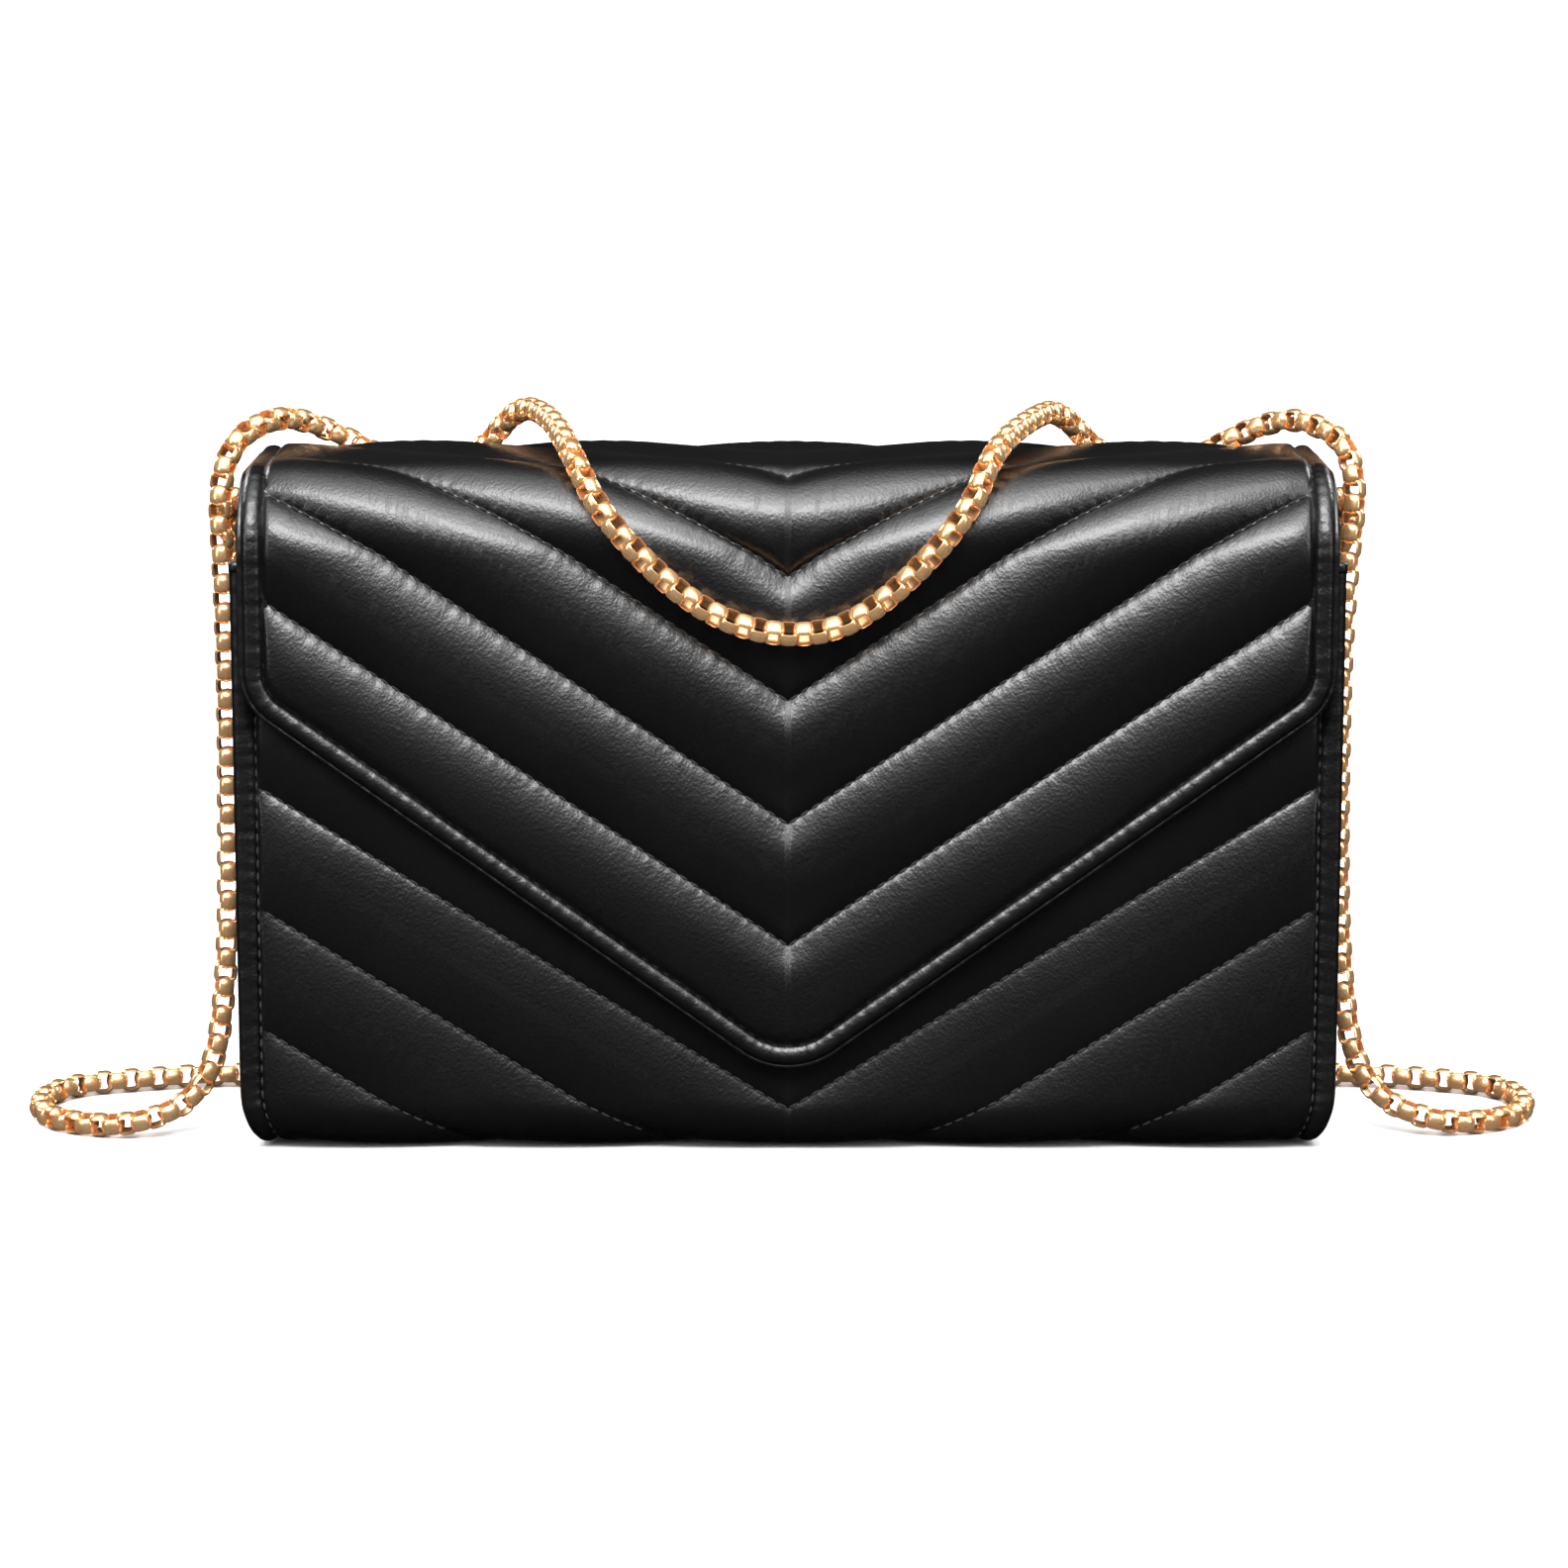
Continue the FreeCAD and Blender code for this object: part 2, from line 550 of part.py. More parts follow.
gate = joined([
    box((clasp_x(5.4), clasp_x(3.6)), gate_y, (CLASP_Z + 2.5, pivot_z)),
    rod((pivot_x, gate_y[0], pivot_z), (pivot_x, gate_y[1], pivot_z), 1.3),
    rod((clasp_x(5.8), gate_y[0], CLASP_Z + 6.5), (clasp_x(5.8), gate_y[1], CLASP_Z + 6.5), 0.9),
])
gate = gate.cut(rod((pivot_x, 0, pivot_z), (pivot_x, 20, pivot_z), 0.75))
save("clasp_gate_right", gate)
save("clasp_gate_left", mirrored(gate))

barrel = rod((CLASP_X, RING_Y, CLASP_Z + 15.3), (CLASP_X, RING_Y, CLASP_Z + 17.6), 2.2)
eye_ring = Part.makeTorus(1.5, 0.55, Vector(CLASP_X, RING_Y, CLASP_Z + 18.7), Vector(0, 1, 0))
eye = joined([barrel, eye_ring])
eye = eye.cut(rod((CLASP_X, RING_Y, CLASP_Z + 15), (CLASP_X, RING_Y, CLASP_Z + 17.1), 1.25))
save("clasp_eye_right", eye)
save("clasp_eye_left", mirrored(eye))


# ---- strap ----

def chain_tube(route, first, last):
    """The tube that turns corners first to last of the route, and the length of its centre line."""
    at_start, at_end = first == 1, last == len(route) - 2
    here = route[0] if at_start else (route[first - 1] + route[first]) * 0.5
    finish = route[-1] if at_end else (route[last] + route[last + 1]) * 0.5
    circle = Part.makeCircle(CHAIN_R, here, route[first] - here)
    edges = []
    for n in range(first, last + 1):
        before, at, after = route[n - 1], route[n], route[n + 1]
        shorter = min((at - before).Length, (after - at).Length)
        radius = 0.45 * shorter / math.tan((at - before).getAngle(after - at) / 2)
        start, middle, end = corner_arc(before, at, after, radius)
        edges.append(Part.makeLine(here, start))
        edges.append(Part.Arc(start, middle, end).toShape())
        here = end
        if radius < 15.5:
            print("  corner", n, "turns on a radius of", round(radius, 1), "mm")
    edges.append(Part.makeLine(here, finish))
    wire = Part.Wire(edges)
    return wire.makePipe(Part.Face(Part.Wire(circle))), wire.Length


route = [Vector(*point) for point in CHAIN_ROUTE]
total = 0
for node, (first, last) in CHAIN_PIECES.items():
    tube, length = chain_tube(route, first, last)
    total += length
    expected = math.pi * CHAIN_R**2 * length
    print(node, "length", round(length, 1), "volume ratio", round(tube.Volume / expected, 4),
          "lowest", round(tube.optimalBoundingBox().ZMin, 2))
    save(node, tube)
print("strap length", round(total, 1))
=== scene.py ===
import math

import bpy
import numpy as np
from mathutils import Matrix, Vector


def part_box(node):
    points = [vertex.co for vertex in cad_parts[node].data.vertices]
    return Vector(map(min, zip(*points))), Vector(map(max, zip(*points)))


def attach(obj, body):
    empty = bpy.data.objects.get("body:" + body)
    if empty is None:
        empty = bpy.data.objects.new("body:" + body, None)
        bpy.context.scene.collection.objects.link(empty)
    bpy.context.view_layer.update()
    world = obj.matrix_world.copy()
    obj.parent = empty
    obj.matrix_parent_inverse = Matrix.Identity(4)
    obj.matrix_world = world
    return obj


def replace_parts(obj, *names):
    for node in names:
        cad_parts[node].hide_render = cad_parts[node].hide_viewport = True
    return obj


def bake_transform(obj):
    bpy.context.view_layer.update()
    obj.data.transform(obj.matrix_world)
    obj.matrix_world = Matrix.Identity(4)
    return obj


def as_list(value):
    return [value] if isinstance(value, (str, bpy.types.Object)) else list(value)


# Crossbody purse: the looks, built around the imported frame.
# Shapes are worked out in millimetres and turned to metres where a mesh is made.
# X runs across the bag, Y to the back, Z up.

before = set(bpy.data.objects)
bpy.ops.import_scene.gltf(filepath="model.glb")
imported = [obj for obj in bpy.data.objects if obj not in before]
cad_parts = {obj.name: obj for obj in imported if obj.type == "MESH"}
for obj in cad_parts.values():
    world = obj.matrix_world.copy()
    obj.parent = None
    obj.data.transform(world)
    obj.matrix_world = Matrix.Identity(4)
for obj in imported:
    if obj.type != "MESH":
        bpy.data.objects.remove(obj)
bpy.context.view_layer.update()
MM = 0.001
SIDES = (("left", -1), ("right", 1))


def box_mm(node):
    """A CAD node's lowest and highest corners, in millimetres."""
    low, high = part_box(node)
    return np.array(low) / MM, np.array(high) / MM


# ---- sizes, in millimetres

leaf_low, leaf_high = box_mm("flap_leaf_binding")
body_low, body_high = box_mm("front_panel")
back_high = box_mm("back_panel")[1]
tail_low = box_mm("flap_tail")[0]
gusset_low, gusset_high = box_mm("gusset_right")
lining_low, lining_high = box_mm("lining")

# flap: one padded strip, measured along its skin from the point of the leaf over the top to the tail
FLAP_HALF = leaf_high[0]
FLAP_SKIN = -leaf_low[1]
FLAP_TOP = box_mm("flap_top_cover")[1][2]
FRONT_FOLD_R = 18.0
BACK_FOLD_R = 8.0
CORNER_V, CORNER_R = 95.3, 13.0
TIP_V, TIP_R = 15.3, 17.0
TAIL_CORNER_R = 4.0
EDGE_BAND = 5.0
LINING_LEVEL, LINING_INSET = -4.86, 1.3
TOP_DROOP, DROOP_REACH = 0.9, 5.5
FOLD_V = FLAP_TOP - FRONT_FOLD_R
TOP_V = FOLD_V + FRONT_FOLD_R * math.pi / 2
TOP_RUN = 2 * FLAP_SKIN - FRONT_FOLD_R - BACK_FOLD_R
BACK_V = TOP_V + TOP_RUN
TAIL_V = BACK_V + BACK_FOLD_R * math.pi / 2
END_V = TAIL_V + FLAP_TOP - BACK_FOLD_R - tail_low[2]
SPLIT_V = (TOP_V + BACK_V) / 2
TAIL_FIELD_V, TAIL_STITCH_V = END_V - 3, END_V - 5

# body: front and back leather that turn under the base and meet there
BODY_HALF = body_high[0]
FRONT_SKIN = body_low[1]
BACK_SKIN = back_high[1]
TURN_R = 11.0
TURN_FOOT = TURN_R - TURN_R * math.pi / 2
TAPER_RISE, TAPER_IN = 15.0, 3.0
TAPER_R = (TAPER_RISE**2 + TAPER_IN**2) / (2 * TAPER_IN)
SEAM_IN, SEAM_FOOT = 4.7, -4.0
BASE_RUN = (BACK_SKIN - FRONT_SKIN - 2 * TURN_R) / 2

# chevron quilting
QUILT_STEP = 25.4
FLAP_APEX, FLAP_SLOPE = 45.2, 0.67
BODY_APEX, BODY_SLOPE = 9.5, 0.625
STITCH_LEVEL = -2.8
PUFF, PUFF_REACH = 3.0, 10.6
APEX_R = 5.5
# shares of the stitches' depth and of the height over them that full flatness takes away
LEVEL_FLATTENING, HEIGHT_FLATTENING = 0.55, 0.65
# small shapes beside a seam: how high or deep, how far from the seam, and how far they reach
PUCKER_DEPTH, PUCKER_AT_HOLES, PUCKER_REACH = 0.28, 0.2, 0.62
PULL_HEIGHT, PULL_AT, PULL_REACH = 0.08, 1.7, 2.0
SCALLOP_DEPTH, SCALLOP_AT, SCALLOP_REACH = 0.15, 1.0, 0.8
BROAD_WAVE = 0.2
THREAD_R, THREAD_SINK, THREAD_ARCH = 0.24, 0.38, 0.22
STITCH_PITCH, STITCH_LENGTH = 2.7, 1.9
STITCH_MARGIN = 0.8
# how far apart the wrinkles' pattern is taken for the left and right arms of the chevrons
ARM_SHIFT = 400
# the mesh: columns across, steps along an outline, and rows at these distances from each chevron line
COLUMN_STEP = 0.68
OUTLINE_STEP = 0.66
ROW_OFFSETS = [0, 0.3, 0.62, 1.0, 1.5, 2.2, 3.1, 4.3, 5.8, 7.6, 9.8]

# strap: a round box chain, its links' sizes in millimetres
LINK_PITCH = 3.05
LINK_LENGTH = 4.55
LINK_WIDTH = 5.0
LINK_BAND = 3.5
LINK_WALL = 0.62
LINK_CORNER_R = 1.6
LINK_STEP = 0.62
LINK_EDGE = 0.12
END_LINK_WIDTH, END_LINK_BAND, END_LINK_WALL = 3.4, 0.9, 0.7
END_GAP = 0.5

# the strap's route, from the left clasp to the right one
CHAIN_ROUTE = np.array([
    (-103.5, 10.0, 112.8), (-104.3, 10.5, 130.0), (-121.5, 21.0, 133.5),
    (-114.5, 34.5, 110.0), (-106.0, 31.8, 76.0), (-88.0, 31.8, 40.0),
    (-88.8, 36.0, 2.6), (-121.0, 37.5, 2.6), (-138.0, 33.5, 2.6),
    (-160.0, 25.5, 2.6), (-159.5, -1.0, 2.6), (-137.0, -11.0, 2.6),
    (-121.5, -3.0, 9.0), (-118.0, 1.5, 34.0), (-117.4, 4.5, 74.0),
    (-117.2, 4.0, 112.0), (-119.0, 8.0, 142.0), (-108.0, 18.0, 150.0),
    (-97.0, 28.5, 145.5), (-84.0, 31.6, 137.6), (-66.8, 31.4, 137.8),
    (-57.0, 26.0, 151.0), (-49.0, 3.0, 151.0), (-43.5, -22.5, 146.0),
    (-37.5, -30.9, 134.5), (-21.5, -31.1, 118.0), (-7.0, -31.1, 110.8),
    (8.5, -31.1, 110.4), (21.5, -31.1, 118.5), (36.5, -30.9, 135.0),
    (41.5, -22.0, 147.0), (50.5, 4.0, 150.5), (57.5, 26.0, 150.0),
    (67.6, 31.4, 137.8), (85.0, 31.6, 137.6), (98.0, 29.0, 145.5),
    (108.5, 21.5, 149.0), (119.5, 9.0, 142.5), (116.0, 5.5, 112.0),
    (115.8, 6.5, 74.0), (116.6, 5.0, 34.0), (120.5, 0.0, 9.0),
    (136.5, -9.0, 2.6), (157.8, 1.5, 2.6), (157.3, 26.0, 2.6),
    (136.5, 34.0, 2.6), (120.5, 37.5, 2.6), (88.8, 36.0, 2.6),
    (88.0, 31.8, 40.0), (106.0, 31.8, 76.0), (114.5, 34.5, 110.0),
    (121.5, 21.0, 133.5), (104.3, 10.5, 130.0), (103.5, 10.0, 112.8),
]) * MM
# the corners of the route that each piece turns, from mid-run to mid-run
CHAIN_PIECES = {
    "chain_left": (1, 13),
    "chain_over_left": (14, 22),
    "chain_front": (23, 30),
    "chain_over_right": (31, 39),
    "chain_right": (40, 52),
}
# how far the links are turned about the chain, in degrees, seen from the front, at some corners of the route
CHAIN_ROLLS = {8: 10, 11: 10, 14: 0, 18: 0, 21: 35, 26: 45, 33: 35, 36: 0, 38: 10, 43: 12, 46: 12}


# ---- camera, floor and light: places in metres, the pitch in degrees, the lens in millimetres

CAMERA_AT = (-0.0008, -1.0, 0.2605)
CAMERA_PITCH = 10.56
CAMERA_LENS = 111.7
FLOOR_HALF = 60.0
FLOOR_DROP = 0.0001
SKY_TOWARD = (0, -0.4, 0.917)
SKY_STOPS = [(0.2, 0.005), (0.42, 0.02), (0.64, 0.16), (0.83, 2.0), (0.95, 3.4)]


def new_object(name, data):
    made = bpy.data.objects.new(name, data)
    bpy.context.scene.collection.objects.link(made)
    return made


def set_inputs(node, **values):
    """Sets a shader node's inputs, with a _ for each space in their names."""
    for key, value in values.items():
        node.inputs[key.replace("_", " ")].default_value = value


def make_camera():
    data = bpy.data.cameras.new("camera")
    data.lens = CAMERA_LENS
    data.sensor_width = 36.0
    data.clip_start, data.clip_end = 0.01, 100.0
    camera = new_object("camera", data)
    camera.location = CAMERA_AT
    camera.rotation_euler = (math.radians(90 - CAMERA_PITCH), 0, 0)
    bpy.context.scene.camera = camera


def new_material(name):
    material = bpy.data.materials.new(name)
    material.use_nodes = True
    tree = material.node_tree
    return material, tree, tree.nodes["Principled BSDF"]


def make_floor():
    half = FLOOR_HALF
    mesh = bpy.data.meshes.new("floor")
    corners = [(-half, -half, 0), (half, -half, 0), (half, half, 0), (-half, half, 0)]
    mesh.from_pydata(corners, [], [(0, 1, 2, 3)])
    floor = new_object("floor", mesh)
    floor.location = (0, 0, -FLOOR_DROP)
    material, _, shader = new_material("floor_paper")
    set_inputs(shader, Base_Color=(0.9, 0.9, 0.9, 1), Roughness=0.9, Specular_IOR_Level=0.0)
    mesh.materials.append(material)
    floor.visible_glossy = False


def make_sky():
    """A soft dome: brightest overhead and a little to the front, dark around the horizon and below."""
    world = bpy.data.worlds.new("studio")
    bpy.context.scene.world = world
    world.use_nodes = True
    tree = world.node_tree
    place = tree.nodes.new("ShaderNodeTexCoord")
    toward = tree.nodes.new("ShaderNodeVectorMath")
    toward.operation = "DOT_PRODUCT"
    toward.inputs[1].default_value = SKY_TOWARD
    ramp = tree.nodes.new("ShaderNodeValToRGB")
    tree.links.new(place.outputs["Generated"], toward.inputs[0])
    tree.links.new(toward.outputs["Value"], ramp.inputs[0])
    tree.links.new(ramp.outputs["Color"], tree.nodes["Background"].inputs["Color"])
    elements = ramp.color_ramp.elements
    for element, (position, level) in zip(elements, (SKY_STOPS[0], SKY_STOPS[-1])):
        element.position = position
        element.color = (level, level, level, 1)
    for position, level in SKY_STOPS[1:-1]:
        elements.new(position).color = (level, level, level, 1)
    tree.nodes["Background"].inputs["Strength"].default_value = 1.0


def softbox(name, at, aim, width, height, power):
    data = bpy.data.lights.new(name, "AREA")
    data.shape = "RECTANGLE"
    data.size, data.size_y = width, height
    data.energy = power
    light = new_object(name, data)
    light.location = at
    light.rotation_euler = (Vector(at) - Vector(aim)).to_track_quat("Z", "Y").to_euler()


make_camera()
make_floor()
make_sky()
softbox("front_softbox", (-0.12, -0.97, 1.06), (0, 0, 0.1), 1.3, 0.4, 34)
softbox("overhead_softbox", (0.1, -0.5, 1.2), (0, 0, 0.1), 1.2, 0.4, 8)
softbox("left_rear_softbox", (-1.1, 1.0, 0.8), (0, 0, 0.08), 0.5, 0.5, 9)
softbox("right_rear_softbox", (1.1, 1.0, 0.8), (0, 0, 0.08), 0.5, 0.5, 9)
softbox("left_strip", (-1.0, -0.75, 0.55), (0, 0, 0.08), 0.16, 0.9, 4)
softbox("right_strip", (1.0, -0.75, 0.55), (0, 0, 0.08), 0.16, 0.9, 4)
bpy.context.scene.view_settings.view_transform = "Standard"


# ---- materials

def add(tree, kind, **settings):
    node = tree.nodes.new(kind)
    for key, value in settings.items():
        if hasattr(node, key):
            setattr(node, key, value)
        else:
            set_inputs(node, **{key: value})
    return node


def spread(tree, source, low, high):
    """A 0 to 1 value mapped to another range."""
    mapper = add(tree, "ShaderNodeMapRange", To_Min=low, To_Max=high)
    tree.links.new(source, mapper.inputs["Value"])
    return mapper.outputs["Result"]


def two_tones(tree, factor, dark, light):
    """A colour between two tones, chosen by a 0 to 1 value."""
    mix = add(tree, "ShaderNodeMix", data_type="RGBA")
    mix.inputs["A"].default_value = (*dark, 1)
    mix.inputs["B"].default_value = (*light, 1)
    tree.links.new(factor, mix.inputs["Factor"])
    return mix.outputs["Result"]


def weighted(tree, value, weight, base):
    """One value times a weight, added to another."""
    node = add(tree, "ShaderNodeMath", operation="MULTIPLY_ADD")
    tree.links.new(value, node.inputs[0])
    node.inputs[1].default_value = weight
    tree.links.new(base, node.inputs[2])
    return node.outputs[0]


def on_object(tree, *textures):
    """Lays textures out by the object's own coordinates."""
    place = add(tree, "ShaderNodeTexCoord").outputs["Object"]
    for texture in textures:
        tree.links.new(place, texture.inputs["Vector"])


def dress(tree, shader, tone, tones, roughness, height, strength, distance):
    """Takes a surface's colour and roughness from one 0 to 1 value, and its relief from a height."""
    link = tree.links.new
    bump = add(tree, "ShaderNodeBump", Strength=strength, Distance=distance)
    link(height, bump.inputs["Height"])
    link(bump.outputs["Normal"], shader.inputs["Normal"])
    link(two_tones(tree, tone, *tones), shader.inputs["Base Color"])
    link(spread(tree, tone, *roughness), shader.inputs["Roughness"])


def leather(name, dark, light, gloss, grain, coat, wrinkles=0.0):
    """Smooth black leather: fine pores, a broken shine and, near stitching, fine pulled wrinkles."""
    material, tree, shader = new_material(name)
    pores = add(tree, "ShaderNodeTexVoronoi", Scale=1500.0)
    creases = add(tree, "ShaderNodeTexNoise", Scale=1300.0, Detail=3.0, Roughness=0.55)
    patches = add(tree, "ShaderNodeTexNoise", Scale=28.0, Detail=3.0)
    on_object(tree, pores, creases, patches)
    height = weighted(tree, pores.outputs["Distance"], 0.55, creases.outputs["Fac"])
    if wrinkles:
        pulled = add(tree, "ShaderNodeAttribute", attribute_name="quilt")
        stretch = add(tree, "ShaderNodeMapping", Scale=(1.7, 0.8, 1.0))
        folds = add(tree, "ShaderNodeTexNoise", Scale=1.0, Detail=2.0, Roughness=0.5, Distortion=0.5)
        tree.links.new(pulled.outputs["Vector"], stretch.inputs["Vector"])
        tree.links.new(stretch.outputs["Vector"], folds.inputs["Vector"])
        height = weighted(tree, folds.outputs["Fac"], wrinkles, height)
    dress(tree, shader, patches.outputs["Fac"], (dark, light), (gloss - 0.02, gloss + 0.03),
          height, strength=grain, distance=0.00025)
    set_inputs(shader, Specular_IOR_Level=0.5, Coat_Weight=coat, Coat_Roughness=0.22)
    return material


def metal(name, dark, light, gloss, mirror=1.0):
    """Plated metal: a slight change of tone, fine polishing marks and, below full mirror, a soft haze."""
    material, tree, shader = new_material(name)
    tone = add(tree, "ShaderNodeTexNoise", Scale=160.0, Detail=3.0)
    marks = add(tree, "ShaderNodeTexNoise", Scale=2600.0, Detail=2.0)
    on_object(tree, tone, marks)
    dress(tree, shader, tone.outputs["Fac"], (dark, light), (gloss - 0.03, gloss + 0.05),
          marks.outputs["Fac"], strength=0.06, distance=0.0001)
    set_inputs(shader, Metallic=mirror)
    return material


def woven(name, dark, light, threads, gloss=0.7, sheen=0.3):
    """Plain woven cloth: crossing threads, a soft sheen and uneven colour."""
    material, tree, shader = new_material(name)
    tone = add(tree, "ShaderNodeTexNoise", Scale=60.0, Detail=4.0)
    weaves = [add(tree, "ShaderNodeTexWave", bands_direction=direction, Scale=threads, Distortion=0.4)
              for direction in ("X", "Z")]
    on_object(tree, tone, *weaves)
    crossing = add(tree, "ShaderNodeMath", operation="ADD")
    for weave, place in zip(weaves, crossing.inputs):
        tree.links.new(weave.outputs["Fac"], place)
    dress(tree, shader, tone.outputs["Fac"], (dark, light), (gloss - 0.05, gloss + 0.1),
          crossing.outputs[0], strength=0.45, distance=0.0002)
    set_inputs(shader, Sheen_Weight=sheen, Sheen_Roughness=0.5)
    return material


BLACK, SOFT_BLACK = (0.0008, 0.0008, 0.001), (0.0018, 0.0018, 0.002)
quilt_leather = leather("quilted_leather", BLACK, SOFT_BLACK, 0.33, 0.26, 0.15, wrinkles=0.9)
edge_leather = leather("edge_leather", BLACK, SOFT_BLACK, 0.35, 0.3, 0.12)
gusset_leather = leather("gusset_leather", BLACK, (0.004, 0.004, 0.0045), 0.42, 0.5, 0.1)
flap_lining_leather = leather("flap_lining", (0.006, 0.006, 0.007), (0.012, 0.012, 0.013), 0.5, 0.6, 0.0)
thread = woven("black_thread", (0.001, 0.001, 0.001), (0.004, 0.004, 0.004), 2400.0, 0.6, 0.05)
lining_cloth = woven("lining_cloth", (0.012, 0.012, 0.013), (0.03, 0.03, 0.033), 520.0)
tape_cloth = woven("zip_tape", (0.008, 0.008, 0.008), (0.02, 0.02, 0.02), 900.0)
board_paper = woven("board_paper", (0.12, 0.11, 0.1), (0.2, 0.18, 0.16), 300.0, 0.85, 0.0)
chain_gold = metal("chain_gold", (0.86, 0.44, 0.18), (0.97, 0.63, 0.33), 0.24, 0.86)
fitting_gold = metal("fitting_gold", (0.85, 0.48, 0.22), (0.95, 0.64, 0.36), 0.24, 0.9)
snap_steel = metal("snap_steel", (0.55, 0.53, 0.5), (0.68, 0.66, 0.62), 0.3)


# ---- making meshes

def piece(name, points, faces, material, body=None, smooth=None):
    """A mesh piece from points in millimetres. With a body it rides there; without, it is placed later."""
    mesh = bpy.data.meshes.new(name)
    mesh.from_pydata((np.asarray(points, float) * MM).tolist(), [], [tuple(f) for f in faces])
    mesh.validate()
    mesh.update()
    mesh.shade_smooth()
    if smooth:
        mesh.set_sharp_from_angle(angle=math.radians(smooth))
    mesh.materials.append(material)
    made = new_object(name, mesh)
    if body:
        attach(made, body)
    return made


def grid_faces(rows, columns, close_rows=False, close_columns=False):
    """Quads over a grid of points held row by row."""
    i = np.arange(rows if close_rows else rows - 1)
    j = np.arange(columns if close_columns else columns - 1)
    i, j = (a.ravel() for a in np.meshgrid(i, j, indexing="ij"))
    up, along = (i + 1) % rows, (j + 1) % columns
    return np.stack([i * columns + j, i * columns + along, up * columns + along, up * columns + j], axis=1)


def tube_faces(rings, sides):
    """Quads round a tube whose points are held ring by ring, with a cap at each end."""
    size = rings * sides
    caps = [list(range(sides))[::-1], list(range(size - sides, size))]
    return grid_faces(rings, sides, close_columns=True).tolist() + caps


def without_doubles(points, faces, close=1e-4):
    """The faces with doubled points merged and empty faces left out, and the points that are kept."""
    _, first, index = np.unique(np.round(points / close).astype(np.int64), axis=0,
                                return_index=True, return_inverse=True)
    index = index.ravel()
    kept = []
    for face in index[faces]:
        ring = [int(v) for n, v in enumerate(face) if v != face[n - 1]]
        if len(set(ring)) == len(ring) and len(ring) >= 3:
            kept.append(ring)
    return kept, first


def smoothstep(t):
    t = np.clip(t, 0, 1)
    return t * t * (3 - 2 * t)


def unit(vectors):
    return vectors / np.maximum(np.linalg.norm(vectors, axis=-1, keepdims=True), 1e-12)


def rounded_path(corners, radii, step):
    """Points along an open line whose corners are rounded, about step apart."""
    corners = [np.array(c, float) for c in corners]
    points = [corners[0]]

    def run_to(end):
        start = points[-1]
        count = max(1, round(np.linalg.norm(end - start) / step))
        for n in range(1, count + 1):
            points.append(start + (end - start) * n / count)

    for before, at, after, radius in zip(corners, corners[1:], corners[2:], radii):
        into, out = unit(at - before), unit(after - at)
        turn = math.acos(np.clip(into @ out, -1, 1))
        reach = radius * math.tan(turn / 2)
        run_to(at - into * reach)
        side = 1 if into[0] * out[1] - into[1] * out[0] > 0 else -1
        centre = points[-1] + side * radius * np.array([-into[1], into[0]])
        start_angle = math.atan2(*(points[-1] - centre)[::-1])
        count = max(3, round(radius * turn / step))
        for n in range(1, count + 1):
            angle = start_angle + side * turn * n / count
            points.append(centre + radius * np.array([math.cos(angle), math.sin(angle)]))
    run_to(corners[-1])
    return np.array(points)


def lengths_along(path):
    return np.concatenate([[0], np.cumsum(np.linalg.norm(np.diff(path, axis=0), axis=1))])


def path_frames(path):
    """Length along a flat path at each point, and its direction to the left."""
    ahead = unit(np.gradient(path, axis=0))
    return lengths_along(path), np.stack([-ahead[:, 1], ahead[:, 0]], axis=1)


def point_rows(x, y, z):
    """A list of points from grids, or single values, of their coordinates."""
    return np.stack(np.broadcast_arrays(x, y, z), axis=-1).reshape(-1, 3)


# ---- strap

def nurbs_line(points):
    """Points of the smooth line through a route: a NURBS spline with the route as its control points."""
    curve = bpy.data.curves.new("route", "CURVE")
    curve.dimensions = "3D"
    curve.resolution_u = 16
    spline = curve.splines.new("NURBS")
    spline.points.add(len(points) - 1)
    for point, place in zip(spline.points, points):
        point.co = (*place, 1)
    spline.order_u = 3
    spline.use_endpoint_u = True
    carrier = bpy.data.objects.new("route", curve)
    mesh = bpy.data.meshes.new_from_object(carrier)
    line = np.array([v.co for v in mesh.vertices], float)
    bpy.data.meshes.remove(mesh)
    bpy.data.objects.remove(carrier)
    bpy.data.curves.remove(curve)
    return line


def carried_sides(line):
    """A sideways direction at each point of a line, carried along it without twisting."""
    ahead = unit(np.gradient(line, axis=0))
    sides = [unit(np.cross(ahead[0], (1.0, 0.3, 0.1)))]
    for n in range(1, len(line)):
        side = sides[-1] - ahead[n] * (sides[-1] @ ahead[n])
        sides.append(unit(side))
    return ahead, np.array(sides)


def rolled_sides(line, along):
    """The links' sideways direction: turned slowly to meet the rolls wanted at some corners of the route."""
    ahead, sides = carried_sides(line)
    places, rolls = [], []
    for corner, wanted in CHAIN_ROLLS.items():
        n = int(np.argmin(np.linalg.norm(line - CHAIN_ROUTE[corner], axis=1)))
        to_front = unit(np.array([0, -1.0, 0]) - ahead[n] * -ahead[n][1])
        other = np.cross(ahead[n], sides[n])
        now = math.degrees(math.atan2(to_front @ other, to_front @ sides[n]))
        roll = now + wanted
        if rolls:
            roll = rolls[-1] + (roll - rolls[-1] + 45) % 90 - 45
        places.append(along[n])
        rolls.append(roll)
    turn = np.radians(np.interp(along, places, rolls))[:, None]
    return ahead, sides * np.cos(turn) + np.cross(ahead, sides) * np.sin(turn)


